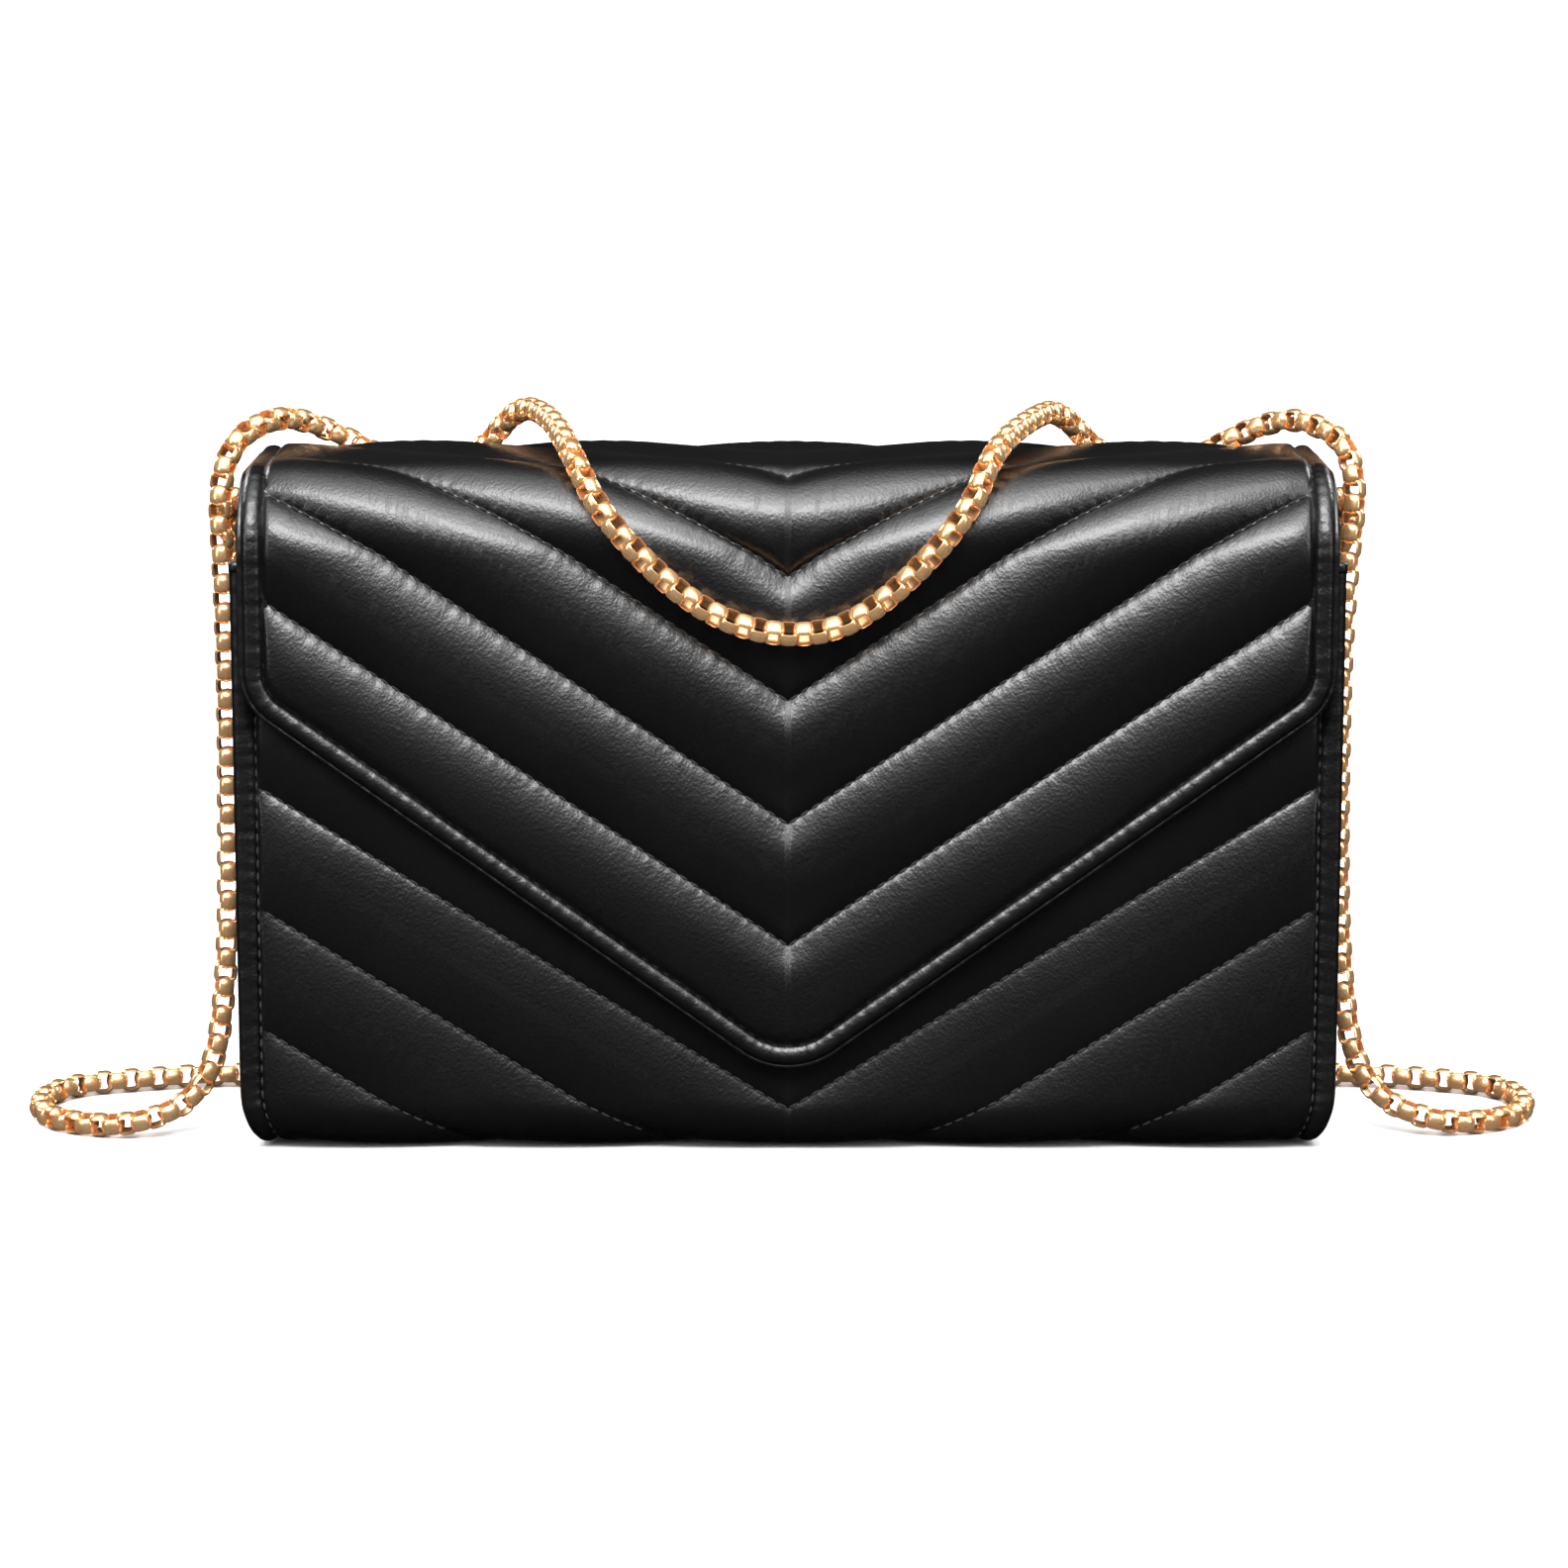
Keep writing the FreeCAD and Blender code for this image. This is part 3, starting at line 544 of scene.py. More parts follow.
def link_shape(length, width, band, wall):
    """One link: a rounded square frame of a wide band whose outer faces are domed to the chain's round."""
    half_long, half_wide = length / 2, width / 2
    corners = [(0, half_wide), (half_long, half_wide), (half_long, -half_wide), (-half_long, -half_wide),
               (-half_long, half_wide), (0, half_wide)]
    outline = rounded_path(corners, [LINK_CORNER_R] * 4, LINK_STEP)[:-1]
    following = np.roll(outline, -1, axis=0) - np.roll(outline, 1, axis=0)
    outward = unit(np.stack([-following[:, 1], following[:, 0]], axis=1))
    outward *= np.sign((outward * outline).sum(1).sum())
    half_band = band / 2
    outer = [-1.0, -0.93, -0.55, 0.0, 0.55, 0.93, 1.0]
    inner = [0.9, 0.0, -0.9]
    inner_narrowing = 0.985

    def dome(share):
        return half_wide - math.sqrt(half_wide**2 - (share * half_band) ** 2)

    points = []
    for place, out in zip(outline, outward):
        for share in outer:
            edge = LINK_EDGE if abs(share) == 1.0 else 0.0
            points.append([*(place - out * (dome(share) + edge)), share * half_band])
        for share in inner:
            depth = wall + 0.5 * dome(share)
            points.append([*(place - out * depth), share * half_band * inner_narrowing])
    faces = grid_faces(len(outline), len(outer) + len(inner), close_rows=True, close_columns=True)
    return np.array(points), faces


def make_chain():
    """All the links, laid along one line and shared out over the strap's pieces."""
    whole = nurbs_line(CHAIN_ROUTE)

    def after_turn(turn):
        return round(turn / (len(CHAIN_ROUTE) - 2) * (len(whole) - 1))

    names = list(CHAIN_PIECES)
    lines = {name: whole[after_turn(first - 1):after_turn(last) + 1]
             for name, (first, last) in CHAIN_PIECES.items()}
    along = lengths_along(whole) / MM
    ahead, sides = rolled_sides(whole, along)
    piece_ends = along[[after_turn(last) for _, last in CHAIN_PIECES.values()]]
    filled = along[-1] - 2 * END_GAP
    count = int(round(filled / LINK_PITCH / 2)) * 2
    common = link_shape(LINK_LENGTH, LINK_WIDTH, LINK_BAND, LINK_WALL)
    end_link = link_shape(LINK_LENGTH, END_LINK_WIDTH, END_LINK_BAND, END_LINK_WALL)
    points = {name: [] for name in names}
    faces = {name: [] for name in names}
    sizes = {name: 0 for name in names}

    def at(values, s):
        return np.array([np.interp(s, along, values[:, k]) for k in range(3)])

    for n in range(count + 1):
        s = END_GAP + n * filled / count
        centre = at(whole, s) / MM
        forward, side = unit(at(ahead, s)), at(sides, s)
        side = unit(side - forward * (side @ forward))
        other = np.cross(forward, side)
        if n % 2:
            side, other = other, -side
        shape, quads = end_link if n in (0, count) else common
        placed = centre + shape[:, :1] * forward + shape[:, 1:2] * side + shape[:, 2:3] * other
        name = names[min(int(np.searchsorted(piece_ends, s)), len(names) - 1)]
        points[name].append(placed)
        faces[name].append(quads + sizes[name])
        sizes[name] += len(placed)
    made = {}
    for name in names:
        made[name] = piece(name + "_links", np.vstack(points[name]), np.vstack(faces[name]), chain_gold,
                           smooth=38)
        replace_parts(made[name], name)
    return made, lines


chain, chain_lines = make_chain()
for side in ("left", "right"):
    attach(chain["chain_" + side], "bag")
    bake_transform(chain["chain_over_" + side])
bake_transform(chain["chain_front"])
clasp_pieces = {
    side: [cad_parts[node + side] for node in ("clasp_", "clasp_gate_", "clasp_eye_")]
    for side in ("left", "right")
}
for name, line in chain_lines.items():
    steps = np.linalg.norm(np.diff(line, axis=0), axis=1)
    start = line[-1] if name == "chain_right" else line[0]
    tuple(start)
    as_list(clasp_pieces.get(name.replace("chain_", ""), []))


# ---- where a sheet of leather lies

def flap_space(x, v, h):
    """A point of the flap: x across, v along its skin from the point over the top, h out of the skin."""
    front = np.clip((v - FOLD_V) / FRONT_FOLD_R, 0, math.pi / 2)
    back = np.clip((v - BACK_V) / BACK_FOLD_R, 0, math.pi / 2)
    y = -FLAP_SKIN + FRONT_FOLD_R * (1 - np.cos(front)) + np.clip(v - TOP_V, 0, TOP_RUN)
    y = y + BACK_FOLD_R * np.sin(back)
    z = np.minimum(v, FOLD_V) + FRONT_FOLD_R * np.sin(front) - BACK_FOLD_R * (1 - np.cos(back))
    z = z - np.maximum(v - TAIL_V, 0)
    turn = front + back
    near_side = np.clip((np.abs(x) - FLAP_HALF + DROOP_REACH) / DROOP_REACH, 0, 1.2)
    droop = TOP_DROOP * near_side**2 * np.sin(turn)
    return np.stack([x, y - np.cos(turn) * (h - droop), z + np.sin(turn) * (h - droop)], axis=-1)


def body_edge(w):
    """Half the width of the body at a height: it draws in a little at the bottom corners."""
    z = np.where(w > TURN_R, w, TURN_R - TURN_R * np.sin(np.clip((TURN_R - w) / TURN_R, 0, math.pi / 2)))
    low = np.clip(TAPER_RISE - z, 0, TAPER_RISE)
    return BODY_HALF - (TAPER_R - np.sqrt(TAPER_R**2 - low**2))


def body_space(skin, side):
    """A sheet that comes down the front (side -1) or the back (side 1) and turns under the base."""
    def space(x, w, h):
        turn = np.clip((TURN_R - w) / TURN_R, 0, math.pi / 2)
        inward = TURN_R * (1 - np.cos(turn)) + np.maximum(TURN_FOOT - w, 0)
        y = skin - side * inward + side * np.cos(turn) * h
        z = np.maximum(w, TURN_R) - TURN_R * np.sin(turn) - np.sin(turn) * h
        return np.stack([x, y, z], axis=-1)
    return space


# ---- quilting

def ripple(s, seed):
    """A smooth, uneven wave along a seam, between about -1 and 1."""
    waves = [(5.3, 1.0), (8.9, 0.8), (3.4, 0.6), (17.0, 0.7)]
    total = 0
    for n, (period, size) in enumerate(waves):
        total = total + size * np.sin(2 * math.pi * s / period + seed * (1.7 + n))
    return total / 2.2


def to_lines(x, v, apexes, slope):
    """Distance to the nearest chevron line, the place along it, and which line it is."""
    run = 1 / math.hypot(1, slope)
    best = np.full(x.shape, np.inf)
    along = np.zeros(x.shape)
    which = np.zeros(x.shape)
    for n, apex in enumerate(apexes):
        px, pv = np.abs(x), v - apex
        t = np.maximum(px * run + pv * slope * run, 0)
        d = np.hypot(px - t * run, pv - t * slope * run)
        near = d < best
        best = np.where(near, d, best)
        along = np.where(near, t, along)
        which = np.where(near, n, which)
    return best, along, which


def crown(d, reach):
    """The rise of a padded channel at a distance from its seam, from 0 to 1."""
    return 1 - (1 - np.clip(d / reach, 0, 1)) ** 2


def hump(d, at, reach):
    """A smooth rise to 1 at a distance from a seam, and back to 0."""
    return np.exp(-(((d - at) / reach) ** 2))


def quilt_height(x, v, apexes, slope, border, flatness):
    """Height of the quilted leather over the skin, its distance from a chevron and the place along it."""
    d, along, which = to_lines(x, v, apexes, slope)
    round_d, _, _ = to_lines(np.hypot(x, APEX_R * smoothstep(d / 7)), v, apexes, slope)
    waves = ripple(along, which * 2.3 + np.sign(x))
    holes = 0.5 + 0.5 * np.cos(2 * math.pi * along / STITCH_PITCH + 0.6 * waves)
    puff = PUFF * crown(round_d, PUFF_REACH) * (0.6 + 0.4 * crown(border, 6.5)) * smoothstep(border / 0.9)
    pucker = (PUCKER_DEPTH + PUCKER_AT_HOLES * holes) * hump(d, 0, PUCKER_REACH) * np.clip(border / 2, 0, 1)
    pulls = PULL_HEIGHT * waves * hump(d, PULL_AT, PULL_REACH) * np.clip(along / 4, 0, 1)
    scallop = SCALLOP_DEPTH * holes * hump(d, SCALLOP_AT, SCALLOP_REACH)
    broad = BROAD_WAVE * np.sin(x / 23 + 1.1) * np.cos(v / 17 + x / 41) * crown(np.minimum(d, border), 6)
    h = puff - pucker + pulls - scallop + broad
    level = STITCH_LEVEL * (1 - LEVEL_FLATTENING * flatness)
    return level + (1 - HEIGHT_FLATTENING * flatness) * h, d, along


def row_levels(apexes, low, high):
    """Rows that follow the chevron lines, close together beside each line."""
    levels = set()
    lowest, highest = (math.floor((level - apexes[0]) / QUILT_STEP) for level in (low, high))
    for n in range(lowest - 1, highest + 2):
        line = apexes[0] + n * QUILT_STEP
        levels.add(line + QUILT_STEP / 2)
        for offset in ROW_OFFSETS:
            levels.update((line + offset, line - offset))
    return np.array(sorted(level for level in levels if low <= level <= high))


def column_shares(half):
    """Columns from -1 to 1, evenly spaced, with a few more beside each edge."""
    count = int(half / COLUMN_STEP)
    even = np.linspace(0, 1, count + 1)
    near_edge = 1 - np.array([0.15, 0.35]) / half
    positive = np.unique(np.concatenate([even, near_edge]))
    return np.concatenate([-positive[:0:-1], positive])


def quilted_piece(name, space, half_at, low_at, high, apexes, slope, flat_at, above_edge=None):
    """A padded sheet between a lower outline and a straight top, with chevron channels."""
    nominal = float(half_at(np.array(high)))
    shares = column_shares(nominal)
    bottom = low_at(shares * nominal).min()
    levels = row_levels(apexes, bottom - slope * nominal - 1, high)
    share, level = np.meshgrid(shares, levels)
    v = level + slope * np.abs(share) * nominal
    v = np.clip(v, low_at(share * nominal), high)
    x = share * half_at(v)
    border = half_at(v) - np.abs(x)
    if above_edge:
        border = np.minimum(border, above_edge(x, v))
    h, d, along = quilt_height(x, v, apexes, slope, np.maximum(border, 0), flat_at(v))
    points = space(x, v, h).reshape(-1, 3)
    faces, first = without_doubles(point_rows(x, v, 0.0), grid_faces(len(levels), len(shares)))
    made = piece(name, points[first], faces, quilt_leather)
    values = point_rows(along * np.sign(x) + ARM_SHIFT * np.sign(x), d, 0.0)[first]
    attribute = made.data.attributes.new("quilt", "FLOAT_VECTOR", "POINT")
    attribute.data.foreach_set("vector", values.astype(np.float32).ravel())
    return made


def threads(name, space, starts, ends, flat_at):
    """Short stitches of thread between points of a sheet, each sunk at its ends."""
    starts, ends = np.array(starts, float), np.array(ends, float)
    shares = np.linspace(0, 1, 5)
    rings = []
    for share in shares:
        flat = starts + (ends - starts) * share
        flatness = flat_at(flat[:, 1])
        level = STITCH_LEVEL * (1 - LEVEL_FLATTENING * flatness)
        level -= THREAD_SINK * (1 - HEIGHT_FLATTENING * flatness)
        rings.append(space(flat[:, 0], flat[:, 1], level + THREAD_ARCH * math.sin(math.pi * share)))
    rings = np.array(rings)
    mid_x, mid_v = (starts + ends).T / 2
    out = unit(space(mid_x, mid_v, np.ones(len(mid_x))) - space(mid_x, mid_v, np.zeros(len(mid_x))))
    ahead = unit(rings[-1] - rings[0])
    side = np.cross(ahead, out)
    sides = 6
    points = []
    for ring, share in zip(rings, shares):
        radius = THREAD_R * (0.55 + 0.45 * math.sin(math.pi * share))
        for n in range(sides):
            angle = 2 * math.pi * n / sides
            points.append(ring + radius * (math.cos(angle) * side + math.sin(angle) * out))
    points = np.array(points).transpose(1, 0, 2).reshape(-1, 3)
    one = tube_faces(len(shares), sides)
    size = len(shares) * sides
    faces = [[v + size * n for v in face] for n in range(len(starts)) for face in one]
    return piece(name, points, faces, thread)


def line_stitches(apexes, slope, inside):
    """Starts and ends of the stitches along both arms of each chevron line."""
    run = 1 / math.hypot(1, slope)
    most = math.ceil(FLAP_HALF / run / STITCH_PITCH)
    starts, ends = [], []
    for apex in apexes:
        for side in (-1, 1):
            for n in range(most):
                s = (n + 0.5) * STITCH_PITCH
                a, b = s - STITCH_LENGTH / 2, s + STITCH_LENGTH / 2
                first = (side * a * run, apex + a * slope * run)
                second = (side * b * run, apex + b * slope * run)
                if inside(*first) and inside(*second):
                    starts.append(first)
                    ends.append(second)
    return starts, ends


def path_stitches(path, inset):
    """Starts and ends of the stitches along a line inside an outline."""
    _, left = path_frames(path)
    line = path + left * inset
    along = lengths_along(line)
    starts, ends = [], []
    for n in range(int(along[-1] / STITCH_PITCH)):
        s = (n + 0.5) * STITCH_PITCH
        for store, place in ((starts, s - STITCH_LENGTH / 2), (ends, s + STITCH_LENGTH / 2)):
            store.append([np.interp(place, along, line[:, k]) for k in (0, 1)])
    return starts, ends


def edge_band(name, space, path, profile, scallops):
    """A rolled edge along an outline: a profile of insets and heights carried along it."""
    along, left = path_frames(path)
    insets, heights = np.array(profile).T
    place = path[:, None, :] + left[:, None, :] * insets[None, :, None]
    h = np.broadcast_to(heights, place.shape[:2]).copy()
    holes = 0.5 + 0.5 * np.cos(2 * math.pi * along / STITCH_PITCH)
    for column, depth in scallops:
        h[:, column] -= depth * holes
    uneven = 0.07 * ripple(along * 1.3, 2.0)
    h[:, 1:-3] += uneven[:, None]
    points = space(place[..., 0], place[..., 1], h).reshape(-1, 3)
    return piece(name, points, grid_faces(len(path), len(profile)), edge_leather)


# ---- flap

# an edge's section, as insets from the outline and heights over the skin: over its roll, round and under
FLAP_PROFILE = [
    (6.2, -2.6), (5.2, -2.45), (4.8, -1.75), (4.3, -1.25), (3.5, -0.95), (2.6, -0.88), (1.9, -1.0),
    (1.35, -1.35), (1.1, -1.8), (0.95, -2.15), (0.75, -2.05), (0.4, -1.95), (0.12, -2.2), (0.0, -2.8),
    (0.05, -3.9), (0.3, -4.5), (0.9, -4.85), (1.8, -4.95), (3.4, -4.95),
]
# the section's points that the stitches pull down, and how far
FLAP_SCALLOPS = [(2, 0.08), (3, 0.14), (4, 0.07)]
flap_outline = rounded_path(
    [(-FLAP_HALF, SPLIT_V), (-FLAP_HALF, CORNER_V), (0, TIP_V), (FLAP_HALF, CORNER_V), (FLAP_HALF, SPLIT_V)],
    [CORNER_R, TIP_R, CORNER_R], OUTLINE_STEP)
_, flap_left = path_frames(flap_outline)
flap_apexes = [FLAP_APEX + n * QUILT_STEP for n in range(8)]
flap_field_half = FLAP_HALF - EDGE_BAND
tip_slope = (CORNER_V - TIP_V) / FLAP_HALF


def inset_low(inset):
    """The lower outline of the leaf, moved in, as a height for each x."""
    line = flap_outline + flap_left * inset
    lower = line[line[:, 1] < CORNER_V + 30]
    order = np.argsort(lower[:, 0], kind="stable")
    xs, vs = lower[order, 0], lower[order, 1]
    keep = np.concatenate([[True], np.diff(xs) > 1e-6])
    return lambda x: np.interp(x, xs[keep], vs[keep])


leaf_low_at = inset_low(EDGE_BAND)


def above_leaf_edge(x, v):
    """Distance inside the stitched lower border of the leaf."""
    return (v - leaf_low_at(x)) / math.hypot(1, tip_slope)


def always(value):
    return lambda v: np.full(np.shape(v), float(value))


def leaf_flatness(v):
    """The flap is fullest near its front fold, flatter towards its point and over the top."""
    v = np.asarray(v)
    return 0.52 * smoothstep((134 - v) / 54) + 0.75 * smoothstep((v - 137) / 15)


def tail_flatness(v):
    """The padding thins out over the back fold, down to the single layer sewn to the back."""
    return 0.75 + 0.25 * smoothstep((np.asarray(v) - BACK_V) / (TAIL_V - BACK_V))


rear_outline = rounded_path(
    [(FLAP_HALF, SPLIT_V), (FLAP_HALF, END_V), (-FLAP_HALF, END_V), (-FLAP_HALF, SPLIT_V)],
    [TAIL_CORNER_R, TAIL_CORNER_R], OUTLINE_STEP)
flap_front = quilted_piece("flap_front_leather", flap_space, always(flap_field_half), leaf_low_at, SPLIT_V,
                           flap_apexes, FLAP_SLOPE, leaf_flatness, above_leaf_edge)
flap_rear = quilted_piece("flap_rear_leather", flap_space, always(flap_field_half), always(SPLIT_V),
                          TAIL_FIELD_V, flap_apexes, FLAP_SLOPE, tail_flatness)
flap_front_edge = edge_band("flap_front_edge", flap_space, flap_outline, FLAP_PROFILE, FLAP_SCALLOPS)
flap_rear_edge = edge_band("flap_rear_edge", flap_space, rear_outline, FLAP_PROFILE, FLAP_SCALLOPS)


def flap_threads(name, outline, low_at, high, flat_at):
    """The stitches of the chevron lines and of the border on one piece of the flap."""
    def inside(x, v):
        return abs(x) < flap_field_half - STITCH_MARGIN and low_at(x) < v < high

    lines = line_stitches(flap_apexes, FLAP_SLOPE, inside)
    border = path_stitches(outline, EDGE_BAND)
    return threads(name, flap_space, lines[0] + border[0], lines[1] + border[1], flat_at)


flap_front_threads = flap_threads("flap_front_stitches", flap_outline,
                                  lambda x: leaf_low_at(x) + STITCH_MARGIN, SPLIT_V, leaf_flatness)
flap_rear_threads = flap_threads("flap_rear_stitches", rear_outline,
                                 always(SPLIT_V), TAIL_STITCH_V, tail_flatness)


def lining_sheet(name, low_at, high):
    """The flap's inner face: a smooth sheet with a slight soft unevenness."""
    rows, columns = 90, 140
    x, level = np.meshgrid(np.linspace(-1, 1, columns) * (FLAP_HALF - LINING_INSET), np.linspace(0, 1, rows))
    low = low_at(x)
    v = low + (high - low) * level
    h = LINING_LEVEL + 0.1 * np.sin(x / 9 + v / 14) * np.cos(v / 8)
    faces = grid_faces(rows, columns)[:, ::-1]
    return piece(name, flap_space(x, v, h).reshape(-1, 3), faces, flap_lining_leather)


flap_front_lining = lining_sheet("flap_front_lining", inset_low(LINING_INSET), SPLIT_V)
flap_rear_lining = lining_sheet("flap_rear_lining", always(SPLIT_V), TAIL_V)

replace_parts(flap_front, "flap_leaf_cover", "flap_leaf_board")
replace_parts(flap_front_edge, "flap_leaf_binding")
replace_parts(flap_front_lining, "flap_leaf_lining")
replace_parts(flap_rear, "flap_top_cover", "flap_top_board", "flap_tail")
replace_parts(flap_rear_edge, "flap_top_binding_left", "flap_top_binding_right")
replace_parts(flap_rear_lining, "flap_top_lining")
for part in (flap_front, flap_front_edge, flap_front_threads, flap_front_lining):
    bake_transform(part)
for part in (flap_rear, flap_rear_edge, flap_rear_threads, flap_rear_lining):
    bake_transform(part)


# ---- body

BODY_PROFILE = [
    (5.9, -2.7), (4.9, -2.6), (4.5, -1.9), (4.0, -1.35), (3.2, -0.9), (2.3, -0.68), (1.4, -0.7),
    (0.7, -0.95), (0.2, -1.4), (0.0, -2.0), (0.1, -2.8), (0.6, -3.4), (1.5, -3.6), (3.4, -3.6),
]
BODY_SCALLOPS = [(2, 0.1), (3, 0.18), (4, 0.08)]
body_apexes = [BODY_APEX + n * QUILT_STEP for n in range(-4, 5)]


def body_field_half(w):
    return body_edge(w) - SEAM_IN


def under_base(w):
    """Flat where the leather turns under the base."""
    return 1 - smoothstep((np.asarray(w) + 4) / 14)


def front_flatness(w):
    """Only lightly padded towards the bottom, a little fuller under the flap, and flat under the base."""
    return np.maximum(under_base(w), 0.92 - 0.42 * smoothstep((np.asarray(w) - 50) / 35))


def back_flatness(w):
    """Half padded, flat under the base, and pressed flat behind the tail of the flap."""
    return np.maximum(np.maximum(under_base(w), 0.4), smoothstep((np.asarray(w) - tail_low[2] + 5) / 6))


def make_body_side(side, space, top, flat_at):
    """The front or the back leather with its seamed edges and stitches, down to the middle of the base."""
    low = TURN_FOOT - BASE_RUN
    leather_piece = quilted_piece(side + "_leather", space, body_field_half, always(low), top, body_apexes,
                                  BODY_SLOPE, flat_at)
    upright = np.arange(top, low, -OUTLINE_STEP)
    parts = [leather_piece]
    for name, sign in SIDES:
        levels = upright if sign < 0 else upright[::-1]
        path = np.stack([sign * body_edge(levels), levels], axis=1)
        seam = path_stitches(path[path[:, 1] > SEAM_FOOT], SEAM_IN)
        parts.append(edge_band(f"{side}_edge_{name}", space, path, BODY_PROFILE, BODY_SCALLOPS))
        parts.append(threads(f"{side}_seam_{name}", space, *seam, flat_at))

    def inside(x, w):
        return abs(x) < body_field_half(np.array(w)) - STITCH_MARGIN and 2 < w < top - 1

    quilting = line_stitches(body_apexes, BODY_SLOPE, inside)
    parts.append(threads(side + "_stitches", space, *quilting, flat_at))
    for part in parts:
        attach(part, "bag")
    return leather_piece


front_leather = make_body_side("front", body_space(FRONT_SKIN, -1), body_high[2], front_flatness)
back_leather = make_body_side("back", body_space(BACK_SKIN, 1), back_high[2], back_flatness)
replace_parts(front_leather, "front_panel", "base_panel")
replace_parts(back_leather, "back_panel")


# ---- gussets, bindings and tabs

# each binding reaches this far below its CAD solid, and those that run across are as much narrower
BINDING_SLACK = 0.6
GUSSET_DIP = 1.0
GUSSET_TURN_R = TURN_R - 3.5


def rolled_edge(name, node, path, sections):
    """A rolled strip of leather in a CAD node's place: a section at each point of a path."""
    rows = np.array(path)[:, None] + np.array(sections)
    faces = tube_faces(len(rows), rows.shape[1])
    made = piece(name, rows.reshape(-1, 3), faces, edge_leather, "bag")
    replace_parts(made, node)


def rounded_section(width, height, radius, steps=4):
    """An upright rounded rectangle, as (sideways, up) points."""
    points = []
    centres = [(1, 1, 0), (-1, 1, 90), (-1, -1, 180), (1, -1, 270)]
    for sx, sz, start in centres:
        for n in range(steps + 1):
            angle = math.radians(start + 90 * n / steps)
            points.append((sx * (width / 2 - radius) + radius * math.cos(angle),
                           sz * (height / 2 - radius) + radius * math.sin(angle)))
    return points


def binding_along_x(name, node, sag):
    """A rolled leather edge that runs across the bag and dips a little in the middle."""
    low, high = box_mm(node)
    depth, height = high[1] - low[1], high[2] - low[2]
    section = rounded_section(depth - BINDING_SLACK, height + BINDING_SLACK, 0.9)
    path, sections = [], []
    for x in np.linspace(low[0], high[0], 170):
        share = 1 - (x / high[0]) ** 2
        pinch = 1 - 0.12 * smoothstep((abs(x) - high[0] + 2.5) / 2.5)
        wave = 0.1 * math.sin(x / 11) + 0.05 * math.sin(x / 2.6)
        level = (low[2] + high[2] - BINDING_SLACK) / 2 - sag * share + wave
        path.append((x, (low[1] + high[1]) / 2, level))
        sections.append([(0, a * pinch, b * pinch) for a, b in section])
    rolled_edge(name, node, path, sections)


binding_along_x("front_top_edge", "front_top_binding", 0.5)
binding_along_x("back_top_edge", "back_top_binding", 0.3)


def end_wall(low, high, corner, rows, columns):
    """A grid over one end of the bag, round at its lower corners: the shares from the front, y and z."""
    share, z = np.meshgrid(np.linspace(0, 1, columns), np.linspace(low[2], high[2], rows))
    drop = np.maximum(low[2] + corner - z, 0)
    pull = corner - np.sqrt(np.maximum(corner**2 - drop**2, 0))
    return share, low[1] + pull + (high[1] - low[1] - 2 * pull) * share, z


def make_gusset(side, sign):
    """A soft side wall: a shallow fold down its middle and creases towards the bottom."""
    share, y, z = end_wall(gusset_low, gusset_high, GUSSET_TURN_R, 120, 60)
    height = (z - gusset_low[2]) / (gusset_high[2] - gusset_low[2])
    fold = 0.75 * hump(share, 0.5, 0.13) * (0.35 + 0.65 * height)
    belly = 0.55 * np.sin(math.pi * share) * np.sin(math.pi * height)
    crease = 0.16 * np.sin(z / 4.3 + 5 * share) * np.exp(-height * 3.0) * np.sin(math.pi * share)
    x = sign * (gusset_high[0] + body_edge(z) - BODY_HALF - fold + belly + crease)
    faces = grid_faces(*z.shape)[:, ::sign]
    made = piece("gusset_wall_" + side, point_rows(x, y, z), faces, gusset_leather, "bag")
    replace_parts(made, "gusset_" + side)

    low, high = box_mm("gusset_binding_" + side)
    width, height = high[0] - low[0], high[2] - low[2] + BINDING_SLACK
    section = [(a, 0, b) for a, b in rounded_section(width, height, 0.95)]
    middle = (low + high - (0, 0, BINDING_SLACK)) / 2
    path = []
    for share in np.linspace(0, 1, 50):
        y = low[1] + (high[1] - low[1]) * share
        path.append((middle[0], y, middle[2] - GUSSET_DIP * math.sin(math.pi * share)))
    rolled_edge("gusset_edge_" + side, "gusset_binding_" + side, path, [section] * len(path))


def make_ring_tab(side, sign):
    """A folded strip of leather that holds the ring: up from the seam, round the bar and back down."""
    low, high = box_mm("dring_tab_" + side)
    ring_low, ring_high = box_mm("dring_" + side)
    wall = max(high[0], -low[0])
    bar, bar_z = abs(ring_low[0] + ring_high[0]) / 2, ring_low[2] + 0.9
    thick, radius = 0.75, 1.85
    line = [(wall - 0.45, low[2]), (wall - 0.45, bar_z - 5)]
    for n in range(13):
        angle = math.radians(-20 + 220 * n / 12)
        line.append((bar + radius * math.cos(angle), bar_z + radius * math.sin(angle)))
    line += [(wall - 1.4, bar_z - 5.5), (wall - 1.3, low[2] + 1)]
    line = np.array(line)
    _, left = path_frames(line)
    centre_y, half = (low[1] + high[1]) / 2, (high[1] - low[1]) / 2
    rows = []
    for place, normal in zip(line, left):
        width = half if place[1] < bar_z - 3 else 4.0
        section = []
        for a, b in rounded_section(2 * width, thick, 0.3, 2):
            point = place + normal * b
            section.append((sign * point[0], centre_y + a, point[1]))
        rows.append(section)
    rows = np.array(rows)
    faces = tube_faces(len(rows), rows.shape[1])
    made = piece("ring_tab_" + side, rows.reshape(-1, 3), faces, edge_leather, "bag",
                 smooth=50)
    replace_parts(made, "dring_tab_" + side)


for side, sign in SIDES:
    make_gusset(side, sign)
    make_ring_tab(side, sign)


# ---- lining, pockets and zip

